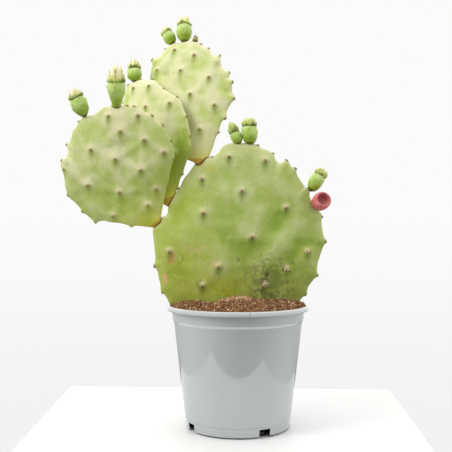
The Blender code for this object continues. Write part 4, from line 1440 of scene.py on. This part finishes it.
def build_body(name, matrix, radius, length, finish, slot, profile, bumps=11, crown_scales=13,
               root=3.5, dish=0.10, scale_length=4.0, dice=None):
    """A bud's green body or a fruit: barrel, tiny leaves along its spiral, scales at its crown."""
    grid, rows, wide, spots = barrel(radius, length, profile, bumps, dice)
    flat = grid.reshape(-1, 3)
    store = {"points": list(flat), "rise": list(rows.ravel()), "tip": [0.0] * len(flat)}
    store["faces"] = grid_faces(BARREL_ROWS, BARREL_SIDES)
    foot = len(store["points"])
    store["points"].append(np.array((0.0, 0.0, -root)))
    store["faces"].extend([(foot, (k + 1) % BARREL_SIDES, k) for k in range(BARREL_SIDES)])
    last = (BARREL_ROWS - 1) * BARREL_SIDES
    inner = len(store["points"])
    dished = [
        (0.90, 1.0 + 0.012), (0.76, 1.0 - 0.35 * dish), (0.55, 1.0 - 0.8 * dish), (0.25, 1.0 - dish)
    ]
    for share, high in dished:
        for k in range(BARREL_SIDES):
            edge = grid[-1, k]
            store["points"].append(np.array((edge[0] * share, edge[1] * share, length * high)))
    store["faces"].extend(grid_faces(len(dished), BARREL_SIDES, inner))
    store["faces"].extend(
        [(last + k, last + (k + 1) % BARREL_SIDES, inner + (k + 1) % BARREL_SIDES, inner + k)
         for k in range(BARREL_SIDES)]
    )
    store["faces"].append([inner + 3 * BARREL_SIDES + k for k in range(BARREL_SIDES)])
    store["rise"].extend([0.0] + [1.0] * (4 * BARREL_SIDES))
    # the tip mask: darkest on the foot point and over the crown dish; on a bud the dish lies under the
    # petals, so its dark tone is painted shade there
    store["tip"].extend([0.9] + [0.35] * BARREL_SIDES + [0.7] * BARREL_SIDES + [0.9] * (2 * BARREL_SIDES))
    for high, turn in spots:
        reach = float(np.interp(high, np.linspace(0, 1, BARREL_ROWS), wide[:, 0]))
        leaf = leaf_grid(
            turn, reach * 0.99, high * length, 0.24 * radius, 0.14 * radius, 0.03 * radius,
            reach * 1.10, 5, 5,
        )
        add_sheet(store, leaf, LEAFLET_THICK, np.full(5, 0.9), np.linspace(0.2, 0.7, 5))
    for ring, (size, out_lean) in enumerate(SCALE_RINGS):
        for k in range(crown_scales):
            turn = 2.0 * math.pi * (k + 0.5 * ring) / crown_scales + dice.uniform(-0.08, 0.08)
            edge_share = profile[-1][1]
            leaf = leaf_grid(
                turn, radius * edge_share * (1.0 - 0.07 * ring), length * 0.975,
                scale_length * size * dice.uniform(0.45, 1.45), radius * 0.34, 0.03 * radius,
                radius * edge_share * out_lean, 7, 5,
            )
            # each crown scale starts dark at its foot: painted shade in the gaps of the crown ring,
            # partly the scales' own dark green
            tip_tones = np.linspace(0.9, dice.choice(SCALE_TONES), 7)
            add_sheet(store, leaf, SCALE_THICK, np.linspace(0.5, 1.0, 7), np.clip(tip_tones, 0.0, 1.0))
    local = np.array(store["points"])
    masks = {"rise": store["rise"], "tip": store["tip"], "skin": local}
    return new_piece(name, carry(matrix, local), store["faces"], finish, masks)


print("a body carries", len(SCALE_RINGS), "rings of scales")

# %% [markdown]
# The closed petals stand in four rings. Each ring starts further in, and its tips lean closer
# to the axis, as a bud's petals do before it opens. A core fills the middle, so that no light
# falls through the gaps.

# %% Petals
PETAL_THICK = 0.5
CORE_SIDES = 24
CORE = [(0.0, 0.62), (0.25, 0.55), (0.5, 0.36), (0.68, 0.10)]     # share of length, of radius
CORE_TONE = 0.30


def build_petals(name, matrix, radius, foot, length, leafy, flare, dice):
    """Rings of closed petals over a core; each ring stands higher and closer to the axis."""
    store = {"points": [], "rise": [], "tip": [], "faces": []}
    # count, share of the length, foot radius, width, belly, tip radius
    rings = (
        (8, 0.46, 0.84, 0.66, 0.05, 0.80 + 0.35 * flare),
        (6, 0.80, 0.76, 0.94, 0.12, 0.46 + 0.50 * flare),
        (5, 1.00, 0.58, 0.92, 0.16, 0.22 + 0.30 * flare),
        (4, 0.92, 0.34, 0.60, 0.14, 0.05 + 0.12 * flare),
    )
    for ring, (count, share, foot_share, wide_share, belly, tip_share) in enumerate(rings):
        for k in range(count):
            turn = 2.0 * math.pi * (k + 0.41 * ring) / count + dice.uniform(-0.15, 0.15)
            tall = share * dice.uniform(0.78, 1.0)
            leaf = leaf_grid(
                turn, radius * foot_share, foot, length * tall, radius * wide_share,
                radius * belly, radius * tip_share,
            )
            steps = np.linspace(0.0, 1.0, 9)
            add_sheet(store, leaf, PETAL_THICK, steps * (0.45 + 0.55 * share), steps * 0.0)
    angle = np.linspace(0.0, 2.0 * math.pi, CORE_SIDES, endpoint=False)
    start = len(store["points"])
    for high, wide in CORE:
        for turn in angle:
            reach = radius * wide
            store["points"].append(
                np.array((reach * math.cos(turn), reach * math.sin(turn), foot + length * high))
            )
            store["rise"].append(CORE_TONE + high * 0.5)
            store["tip"].append(0.0)
    store["faces"].extend(grid_faces(len(CORE), CORE_SIDES, start))
    store["faces"].append([start + k for k in range(CORE_SIDES)][::-1])
    last = start + (len(CORE) - 1) * CORE_SIDES
    store["faces"].append([last + k for k in range(CORE_SIDES)])
    local = np.array(store["points"])
    masks = {"rise": store["rise"], "leafy": [leafy] * len(local), "skin": local}
    return new_piece(name, carry(matrix, local), store["faces"], petal_skin, masks)


print("a core has", len(CORE), "rings")

# %% Grow the buds
for index, (bud_name, spec) in enumerate(BUDS.items()):
    parent, spot, tilt, radius, body, petals, profile, leafy, flare = spec
    dice = np.random.default_rng(500 + index)
    matrix = bud_matrix(parent, spot, tilt) @ Matrix.Rotation(0.7 * index, 4, "Z")
    piece = build_body(
        bud_name + "_body", matrix, radius, body, bud_skin, "bud_skin", profile,
        scale_length=4.2 + 1.6 * leafy, dice=dice,
    )
    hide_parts(bud_name + "_ovary")
    how_proud(piece, bud_name + "_ovary")
    cone = build_petals(
        bud_name + "_petal_cone", matrix, radius * profile[-1][1] * 1.08, body * 0.96,
        petals + body * 0.04, leafy, flare, dice,
    )
    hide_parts(bud_name + "_petals")
    how_proud(cone, bud_name + "_petals")

# %% [markdown]
# ## The ripe fruit and the sprout
# The fruit is last year's bud: its petals have dropped and left a dished crown, and the body
# has turned crimson under a pale bloom. The sprout is the opposite, a bud a few days old
# that is still only a knot of tiny leaves.

# %% Fruit
FRUIT_PROFILE = [
    (0.0, 0.42), (0.14, 0.74), (0.36, 0.95), (0.62, 1.0), (0.86, 0.97), (0.96, 0.91), (1.0, 0.84)
]
FRUIT_AIM = Vector((0.26, -0.91, 0.28))
FRUIT_BASE = Vector((106.0, -1.0, 295.5))
FRUIT_SIZE = (11.9, 23.0)

matrix = (
    Matrix.Scale(MM, 4)
    @ Matrix.Translation(FRUIT_BASE)
    @ FRUIT_AIM.to_track_quat("Z", "Y").to_matrix().to_4x4()
)
fruit = build_body(
    "ripe_fruit", matrix, *FRUIT_SIZE, fruit_skin, "fruit_skin", FRUIT_PROFILE, bumps=0,
    crown_scales=0, dish=0.20, dice=np.random.default_rng(71),
)
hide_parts("red_fruit")
how_proud(fruit, "red_fruit")

# %% Sprout
SPROUT_SIZE = (4.2, 6.0)
SPROUT_BARREL = [(0.0, 0.75), (0.3, 1.0), (0.7, 0.95), (1.0, 0.70)]
sprout_skin = waxy_skin(
    "sprout skin", (0.30, 0.30, 0.07), (0.20, 0.16, 0.03), (0.50, 0.46, 0.24), 0.50,
    (0.10, 0.065, 0.02),
)
matrix = bud_matrix("pad_top", (-15.0, 178.0), 8.0)
sprout = build_body(
    "sprout", matrix, *SPROUT_SIZE, sprout_skin, "bud_skin", SPROUT_BARREL, bumps=5,
    crown_scales=7, scale_length=2.4, root=2.5, dice=np.random.default_rng(72),
)
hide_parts("bud_sprout")
how_proud(sprout, "bud_sprout")

# %% [markdown]
# ## The soil
# Potting mix is coir fibre, bark crumbs and grit. Its body is a mound that fills the pot, and
# its look comes from what lies on top: thousands of small angular grains and a few hundred
# fibres, each with its own tone. They are made as two merged meshes, so that the file stays
# quick, instead of as thousands of objects.

# %% Sizes of the pot and its soil
SOIL_GAP = 0.5
WALL = 1.2
LIP_MOUTH = 92.6
LIP_TURN = pot_height / MM - 7.5
NECK_BOTTOM = pot_height / MM - 21.0
NECK_RADIUS = 88.4
BODY_RADIUS = 85.6
FOOT_RADIUS = 68.9
SOIL_EDGE = pot_height / MM - 3.2
SOIL_MOUND = 9.5
# middle, half-widths and height of each heap; the last one is a hollow
SOIL_HEAPS = (
    (2.0, -16.0, 24.0, 9.0, 5.5), (58.0, -4.0, 30.0, 26.0, 2.0), (-37.0, -14.0, 12.0, 14.0, -4.0)
)


def pot_inside(z):
    """Inside radius of the pot at a height, in millimetres."""
    heights = (0.0, NECK_BOTTOM, NECK_BOTTOM + 2.2, LIP_TURN, pot_height / MM)
    radii = (FOOT_RADIUS, BODY_RADIUS, NECK_RADIUS - 1.1, NECK_RADIUS, LIP_MOUTH + WALL)
    return float(np.interp(z, heights, radii)) - WALL


print("the pot's mouth is", 2.0 * LIP_MOUTH, "mm wide, its foot", 2.0 * FOOT_RADIUS)

# %% Height of the soil
def soil_height(x, y):
    """Height of the soil's surface: a mound, heaps and a hollow by the plant, small lumps."""
    reach = pot_inside(SOIL_EDGE) - SOIL_GAP
    share = np.clip(np.hypot(x, y) / reach, 0.0, 1.0)
    mound = SOIL_MOUND * np.sqrt(1.0 - share**6)
    for heap_x, heap_y, wide, deep, high in SOIL_HEAPS:
        away = ((x - heap_x) / wide) ** 2 + ((y - heap_y) / deep) ** 2
        mound = mound + high * np.exp(-away)
    lumps = 0.6 * swell(x, y, 17.0, 61) + 0.5 * swell(x, y, 6.0, 62)
    return SOIL_EDGE + mound + lumps * np.sqrt(1.0 - share**6)


def sandy_share(x, y):
    """Where pale sand lies: a strip at the foot of the pad, a little left of the middle."""
    strip = np.exp(-(((y + 20.0) / 6.5) ** 2) - (((x + 6.0) / 27.0) ** 4))
    return np.clip(strip * (1.0 + 0.35 * swell(x, y, 7.0, 64)), 0.0, 1.0)


print("soil in the middle at", soil_height(np.zeros(1), np.zeros(1)).round(1), "mm")

# %% Soil material
SOIL_DARK, SOIL_BROWN = (0.07, 0.032, 0.015), (0.34, 0.17, 0.08)
PALE_SAND = (0.74, 0.55, 0.34)
# painted shade: low soil is painted near black, for the dark inside seen through the drain slots
SLOT_SHADE_TONE = (0.006, 0.004, 0.003)     # what shows through the drain slots
soil_finish, tree, shader = new_finish("potting mix", 0.95, 0.15)
place = node(tree, "NewGeometry").outputs["Position"]
crumb = noise(tree, place, 900.0, 5.0)
colour = blend(tree, spread(tree, crumb, 0.35, 0.65), SOIL_DARK, SOIL_BROWN)
colour = blend(tree, times(tree, mask(tree, "sandy"), 0.85), colour, PALE_SAND)
# painted shade: the soil darkens from five centimetres up down to near black at two
low_painted_shade = spread(tree, node(tree, "SeparateXYZ", {0: place}).outputs["Z"], 0.05, 0.02)
colour = blend(tree, low_painted_shade, colour, SLOT_SHADE_TONE)
tree.links.new(colour, shader.inputs["Base Color"])
emboss(tree, shader, crumb, 0.9, 0.0012)

print("soil crumbs have", len(tree.nodes), "nodes")

# %% Soil body
SOIL_TURNS = 220
angle = np.linspace(0.0, 2.0 * math.pi, SOIL_TURNS, endpoint=False)
top_reach = pot_inside(SOIL_EDGE) - SOIL_GAP
rows = []
for share in np.linspace(0.02, 1.0, 90) ** 0.8:
    x, y = top_reach * share * np.cos(angle), top_reach * share * np.sin(angle)
    rows.append(np.stack([x, y, soil_height(x, y)], axis=1))
for z, inset in ((LIP_TURN, 0.6), (NECK_BOTTOM, 0.6), (18.0, 0.8), (15.0, 8.0), (4.6, 9.0)):
    reach = pot_inside(z) - inset
    rows.append(np.stack([reach * np.cos(angle), reach * np.sin(angle), np.full_like(angle, z)], axis=1))
soil_points = np.vstack(rows) * MM
soil_faces = grid_faces(len(rows), SOIL_TURNS)
soil_faces = [quad[::-1] for quad in soil_faces]
soil_faces.append(list(range(SOIL_TURNS)))
soil_faces.append([(len(rows) - 1) * SOIL_TURNS + k for k in range(SOIL_TURNS)][::-1])
sandy = sandy_share(soil_points[:, 0] / MM, soil_points[:, 1] / MM)
soil = new_piece("soil_mound", soil_points, soil_faces, soil_finish, {"sandy": sandy})
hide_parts("soil")
how_proud(soil, "soil")

# %% Material of the grains and fibres
grain_finish, tree, shader = new_finish("coir and grit", 0.85, 0.2)
tone = mask(tree, "tone")
ramp = node(tree, "ValToRGB", {"Fac": tone})
stops = ramp.color_ramp
stops.elements[0].color = (0.045, 0.018, 0.009, 1.0)
stops.elements[1].color = (0.92, 0.78, 0.56, 1.0)
for where, colour in (
    (0.22, (0.13, 0.052, 0.022, 1.0)), (0.50, (0.32, 0.145, 0.060, 1.0)),
    (0.72, (0.52, 0.28, 0.13, 1.0)), (0.86, (0.74, 0.52, 0.32, 1.0)),
):
    stops.elements.new(where).color = colour
place = node(tree, "NewGeometry").outputs["Position"]
pit = noise(tree, place, 2500.0, 2.0)
shade = blend(tree, spread(tree, pit, 0.3, 0.7, 0.0, 0.30), ramp.outputs["Color"], (0.05, 0.025, 0.012))
tree.links.new(shade, shader.inputs["Base Color"])
emboss(tree, shader, pit, 0.5, 0.0004)

print("grain tones have", len(stops.elements), "stops")

# %% [markdown]
# Grains are eight-sided crumbs: a stretched octahedron with its corners pushed in and out,
# spun at random. The pale ones gather where the sand lies.

# %% Scatter over the soil
dice = np.random.default_rng(8)


def scatter(count):
    """Random places over the soil that are not inside the old pad."""
    reach = top_reach * np.sqrt(dice.uniform(0.0, 1.0, count * 2))
    turn = dice.uniform(0.0, 2.0 * math.pi, count * 2)
    x, y = reach * np.cos(turn), reach * np.sin(turn)
    free = (np.abs(y) > 8.0) | (np.abs(x) > 84.0)
    return x[free][:count], y[free][:count]


print("soil reaches", round(top_reach, 1), "mm from the axis")

# %% Grains
GRAINS = 11000
SAND_GRAINS = 1200
corners = np.array([(1, 0, 0), (-1, 0, 0), (0, 1, 0), (0, -1, 0), (0, 0, 1), (0, 0, -1)], dtype=float)
sides = np.array([(0, 2, 4), (2, 1, 4), (1, 3, 4), (3, 0, 4), (2, 0, 5), (1, 2, 5), (3, 1, 5), (0, 3, 5)])
x, y = scatter(GRAINS)
x = np.concatenate([x, dice.uniform(-36.0, 24.0, SAND_GRAINS)])
y = np.concatenate([y, dice.uniform(-30.0, -13.0, SAND_GRAINS)])
size = 0.50 + 1.05 * dice.uniform(0.0, 1.0, len(x)) ** 2
shape = corners[None] * dice.uniform(0.55, 1.35, (len(x), 6, 1)) * size[:, None, None]
shape = shape * dice.uniform(0.5, 1.3, (len(x), 1, 3))
spin = dice.normal(size=(len(x), 4))
spin /= np.linalg.norm(spin, axis=1)[:, None]
w, i, j, k = spin.T
turns_of = np.stack([
    np.stack([1 - 2 * (j * j + k * k), 2 * (i * j - w * k), 2 * (i * k + w * j)], -1),
    np.stack([2 * (i * j + w * k), 1 - 2 * (i * i + k * k), 2 * (j * k - w * i)], -1),
    np.stack([2 * (i * k - w * j), 2 * (j * k + w * i), 1 - 2 * (i * i + j * j)], -1),
], 1)
shape = np.einsum("nab,ncb->nca", turns_of, shape)
seat = np.stack([x, y, soil_height(x, y) + size * 0.25], axis=1)
grain_points = (shape + seat[:, None]).reshape(-1, 3) * MM
grain_faces = (sides[None] + 6 * np.arange(len(x))[:, None, None]).reshape(-1, 3).tolist()
sandy = sandy_share(x, y)
grain_tone = dice.beta(1.5, 1.8, len(x)) + 0.10 * swell(x, y, 15.0, 63)
grain_tone = np.clip(grain_tone * (1.0 - 0.55 * sandy) + 0.62 * sandy, 0.0, 1.0)
grains = new_piece(
    "soil_grains", grain_points, grain_faces, grain_finish,
    {"tone": np.repeat(grain_tone, 6)}, smooth=False,
)
print("soil_grains", len(grain_faces), "faces")

# %% [markdown]
# Fibres are thin three-sided rods that arch a little above the soil and thin out at both ends.

# %% Fibres
FIBRES = 420
FIBRE_STEPS = 6
FIBRE_SIDES = 3
fibre_points, fibre_faces, fibre_tone = [], [], []
for start_x, start_y in zip(*scatter(FIBRES)):
    turn, bend = dice.uniform(0.0, 2.0 * math.pi), dice.uniform(-0.5, 0.5)
    length, thick, light = dice.uniform(3.0, 9.0), dice.uniform(0.09, 0.22), dice.uniform(0.3, 1.0)
    first = len(fibre_points)
    for step in range(FIBRE_STEPS):
        along = step / (FIBRE_STEPS - 1)
        heading = turn + bend * along * 2.0
        px = start_x + length * along * math.cos(heading)
        py = start_y + length * along * math.sin(heading)
        if math.hypot(px, py) > top_reach:
            px, py = px * top_reach / math.hypot(px, py), py * top_reach / math.hypot(px, py)
        pz = float(soil_height(np.array([px]), np.array([py]))[0]) + 0.5 + 0.6 * math.sin(math.pi * along)
        wide = thick * (1.0 - 0.8 * abs(2.0 * along - 1.0) ** 3)
        for corner in range(FIBRE_SIDES):
            lean_angle = 2.0 * math.pi * corner / FIBRE_SIDES
            fibre_points.append((
                (px - wide * math.cos(lean_angle) * math.sin(heading)) * MM,
                (py + wide * math.cos(lean_angle) * math.cos(heading)) * MM,
                (pz + wide * math.sin(lean_angle)) * MM,
            ))
            fibre_tone.append(light)
    fibre_faces.extend(grid_faces(FIBRE_STEPS, FIBRE_SIDES, first))
    fibre_faces.append([first + 2, first + 1, first])
    fibre_faces.append([first + 15, first + 16, first + 17])
fibres = new_piece(
    "soil_fibres", fibre_points, fibre_faces, grain_finish, {"tone": fibre_tone}
)
print("soil_fibres", len(fibre_faces), "faces")

# %% [markdown]
# ## The pot
# Nursery pots are injection moulded: a thin wall drawn in a slight taper, a stiffening band
# and a flared lip at the top, a faint line where the foot's tool begins, and slots at the
# corner for drainage. A lathe profile with small fillets gives the wall, and the slots are
# cut with a Boolean so that their edges stay crisp.

# %% Pot material
PLASTIC_DARK = (0.374, 0.402, 0.402)
PLASTIC_LIGHT = (0.390, 0.416, 0.413)
EDGE_HIGHLIGHT_TONE = (0.58, 0.60, 0.59)
SOIL_SMEAR = (0.24, 0.15, 0.09)
SPLIT_AT = 0.0131     # a hairline split in the lip, metres from the pot's middle
pot_finish, tree, shader = new_finish("grey moulded plastic", 0.06, 1.0)
shader.inputs["IOR"].default_value = 1.60
place = node(tree, "NewGeometry").outputs["Position"]
flow = spread(tree, noise(tree, place, 14.0, 3.0), 0.3, 0.7)
colour = blend(tree, flow, PLASTIC_DARK, PLASTIC_LIGHT)
grit = node(tree, "TexVoronoi", {"Vector": place, "Scale": 120.0, "Randomness": 1.0}).outputs["Distance"]
colour = blend(tree, spread(tree, grit, 0.06, 0.03, 0.0, 0.35), colour, (0.62, 0.62, 0.59))
film = use(tree, dust, {"Amount": 0.16, "Grain": 500.0})
colour = blend(tree, film["Mask"], colour, (0.66, 0.65, 0.61))
spots_of = node(tree, "SeparateXYZ", {0: place})
height = spots_of.outputs["Z"]
smear_noise = noise(tree, place, 60.0, 6.0)
near_lip = spread(tree, height, pot_height - 0.002, pot_height)
smear = times(tree, near_lip, spread(tree, smear_noise, 0.60, 0.74))
colour = blend(tree, times(tree, smear, 0.35), colour, SOIL_SMEAR)
# painted highlight: a pale band at the ledge under the neck and along the lip's top edge, standing in for
# light and reflection caught there
ledge_highlight = sums(tree, "SUBTRACT", height, NECK_BOTTOM * MM + 0.0006)
ledge_highlight = spread(tree, sums(tree, "ABSOLUTE", ledge_highlight), 0.0022, 0.0010)
lip_highlight = spread(tree, height, pot_height - 0.0022, pot_height - 0.0008)
wear_and_edge_highlight = sums(tree, "MAXIMUM", ledge_highlight, lip_highlight)
colour = blend(tree, times(tree, wear_and_edge_highlight, 0.70), colour, EDGE_HIGHLIGHT_TONE)
split = sums(tree, "ABSOLUTE", sums(tree, "SUBTRACT", spots_of.outputs["X"], SPLIT_AT))
on_lip = spread(tree, height, pot_height - 0.0064, pot_height - 0.0058)
split = times(tree, spread(tree, split, 0.0006, 0.0002), on_lip)
split = times(tree, split, spread(tree, spots_of.outputs["Y"], 0.0, -0.01))
colour = blend(tree, times(tree, split, 0.80), colour, (0.16, 0.12, 0.09))
around = node(tree, "CombineXYZ", {"X": spots_of.outputs["X"], "Y": spots_of.outputs["Y"]}).outputs[0]
radius = node(tree, "VectorMath", {0: around}, operation="LENGTH").outputs["Value"]
# painted shade: the floor, channels and inside of the foot are painted near black, for the dark seen
# through the drain slots and under the pot
under_foot = spread(tree, radius, (FOOT_RADIUS - 0.9) * MM, (FOOT_RADIUS - 1.6) * MM)
low_painted_shade = times(tree, under_foot, spread(tree, height, 0.020, 0.014))
colour = blend(tree, low_painted_shade, colour, (0.010, 0.010, 0.009))
tree.links.new(colour, shader.inputs["Base Color"])
grain_of = noise(tree, place, 1600.0, 2.0)
emboss(tree, shader, grain_of, 0.04, 0.0001)
print("plastic roughness", shader.inputs["Roughness"].default_value)

# %% [markdown]
# Moulded plastic has no sharp corners, so every corner of the wall's section is rounded.
# Long straight spans get a point just inside each end, and so the shading stays flat.

# %% Round a profile
POT_TURNS = 240
HIGH = pot_height / MM
RIM = rim_radius / MM
LIP_UNDER = HIGH - 6.2
FOOT_LINE = 14.0
FLOOR_TOP = 4.2
CHANNEL = 3.0


def fillet(profile, radius, steps=4):
    """Round the corners of a profile; each corner may not take more than half a span."""
    knots = [np.array(p, dtype=float) for p in profile]
    rounded = [knots[0]]
    for before, corner, after in zip(knots, knots[1:], knots[2:]):
        back, ahead = before - corner, after - corner
        reach = min(radius, np.linalg.norm(back) * 0.45, np.linalg.norm(ahead) * 0.45)
        start = corner + back / np.linalg.norm(back) * reach
        end = corner + ahead / np.linalg.norm(ahead) * reach
        for t in np.linspace(0.0, 1.0, steps):
            rounded.append((1 - t) ** 2 * start + 2 * t * (1 - t) * corner + t * t * end)
    rounded.append(knots[-1])
    return rounded


def with_supports(profile, longest=8.0, inset=0.8):
    """Add points just inside the ends of long spans, so that fillets do not bend the shading."""
    full = [profile[0]]
    for first, second in zip(profile, profile[1:]):
        length = np.linalg.norm(second - first)
        if length > longest:
            full.append(first + (second - first) * inset / length)
            full.append(second - (second - first) * inset / length)
        full.append(second)
    return full


print("a square corner becomes", len(fillet([(0, 0), (9, 0), (9, 9)], 0.5)), "points")

# %% Turn the pot
wall_profile = with_supports(fillet([
    (0.5, 0.0), (19.0, 0.0), (20.0, CHANNEL), (FOOT_RADIUS - 13.0, CHANNEL), (FOOT_RADIUS - 12.0, 0.0),
    (FOOT_RADIUS - 9.0, 0.0), (FOOT_RADIUS - 8.4, 1.8), (FOOT_RADIUS - 0.1, 1.8),
    (FOOT_RADIUS + 1.15, FOOT_LINE - 0.5), (FOOT_RADIUS + 1.9, FOOT_LINE),
    (BODY_RADIUS, NECK_BOTTOM - 0.8), (NECK_RADIUS - 1.1, NECK_BOTTOM + 1.8), (NECK_RADIUS, LIP_UNDER),
    (RIM - 0.9, LIP_UNDER), (RIM, LIP_UNDER + 1.2), (RIM - 0.5, HIGH - 3.2), (RIM - 1.3, HIGH - 1.2),
    (RIM - 2.6, HIGH), (LIP_MOUTH - 0.8, HIGH),
    (pot_inside(LIP_TURN), LIP_TURN), (pot_inside(NECK_BOTTOM + 2.2), NECK_BOTTOM + 2.2),
    (pot_inside(NECK_BOTTOM), NECK_BOTTOM), (pot_inside(FLOOR_TOP), FLOOR_TOP), (0.5, FLOOR_TOP),
], 0.55))
angle = np.linspace(0.0, 2.0 * math.pi, POT_TURNS, endpoint=False)
pot_points = np.array([
    (r * math.cos(a), r * math.sin(a), z) for r, z in wall_profile for a in angle
]) * MM
pot_faces = grid_faces(len(wall_profile), POT_TURNS)
pot_faces.append(list(range(POT_TURNS))[::-1])
pot_faces.append([(len(wall_profile) - 1) * POT_TURNS + k for k in range(POT_TURNS)])
pot = new_piece("nursery_pot", pot_points, pot_faces, pot_finish)
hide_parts("pot")
print("pot section of", len(wall_profile), "points")

# %% [markdown]
# Four drain slots sit where the wall meets the floor. Each is cut by a block, as the tongues
# of a mould would leave it.

# %% Drain slots
SLOT_FIRST = -61.5
SLOT_WIDTH = 16.0
SLOT_BOTTOM = 1.0
SLOT_TOP = 11.2
SLOT_DEPTH = 8.0

cutters = []
for quarter in range(4):
    bearing = math.radians(SLOT_FIRST + 90.0 * quarter)
    box = bpy.data.meshes.new("slot")
    middle = Matrix.Rotation(bearing, 4, "Z") @ Matrix.Translation(
        ((FOOT_RADIUS + 4.0 - SLOT_DEPTH) * MM, 0.0, (SLOT_BOTTOM + SLOT_TOP) / 2.0 * MM)
    )
    half = Vector((SLOT_DEPTH, SLOT_WIDTH / 2.0, (SLOT_TOP - SLOT_BOTTOM) / 2.0)) * MM
    corners = [middle @ Vector((half.x * a, half.y * b, half.z * c))
               for a in (-1, 1) for b in (-1, 1) for c in (-1, 1)]
    box.from_pydata([c[:] for c in corners], [], [
        (0, 1, 3, 2), (4, 6, 7, 5), (0, 4, 5, 1), (2, 3, 7, 6), (0, 2, 6, 4), (1, 5, 7, 3)
    ])
    cutter = bpy.data.objects.new("slot_cutter", box)
    bpy.context.scene.collection.objects.link(cutter)
    step = pot.modifiers.new("Drain slot", "BOOLEAN")
    step.object = cutter
    step.operation = "DIFFERENCE"
    step.solver = "EXACT"
    cutters.append(cutter)
bpy.context.view_layer.update()
cut_mesh = bpy.data.meshes.new_from_object(pot.evaluated_get(bpy.context.evaluated_depsgraph_get()))
pot.modifiers.clear()
pot.data = cut_mesh
pot.data.set_sharp_from_angle(angle=math.radians(40.0))
for cutter in cutters:
    bpy.data.objects.remove(cutter, do_unlink=True)
how_proud(pot, "pot")
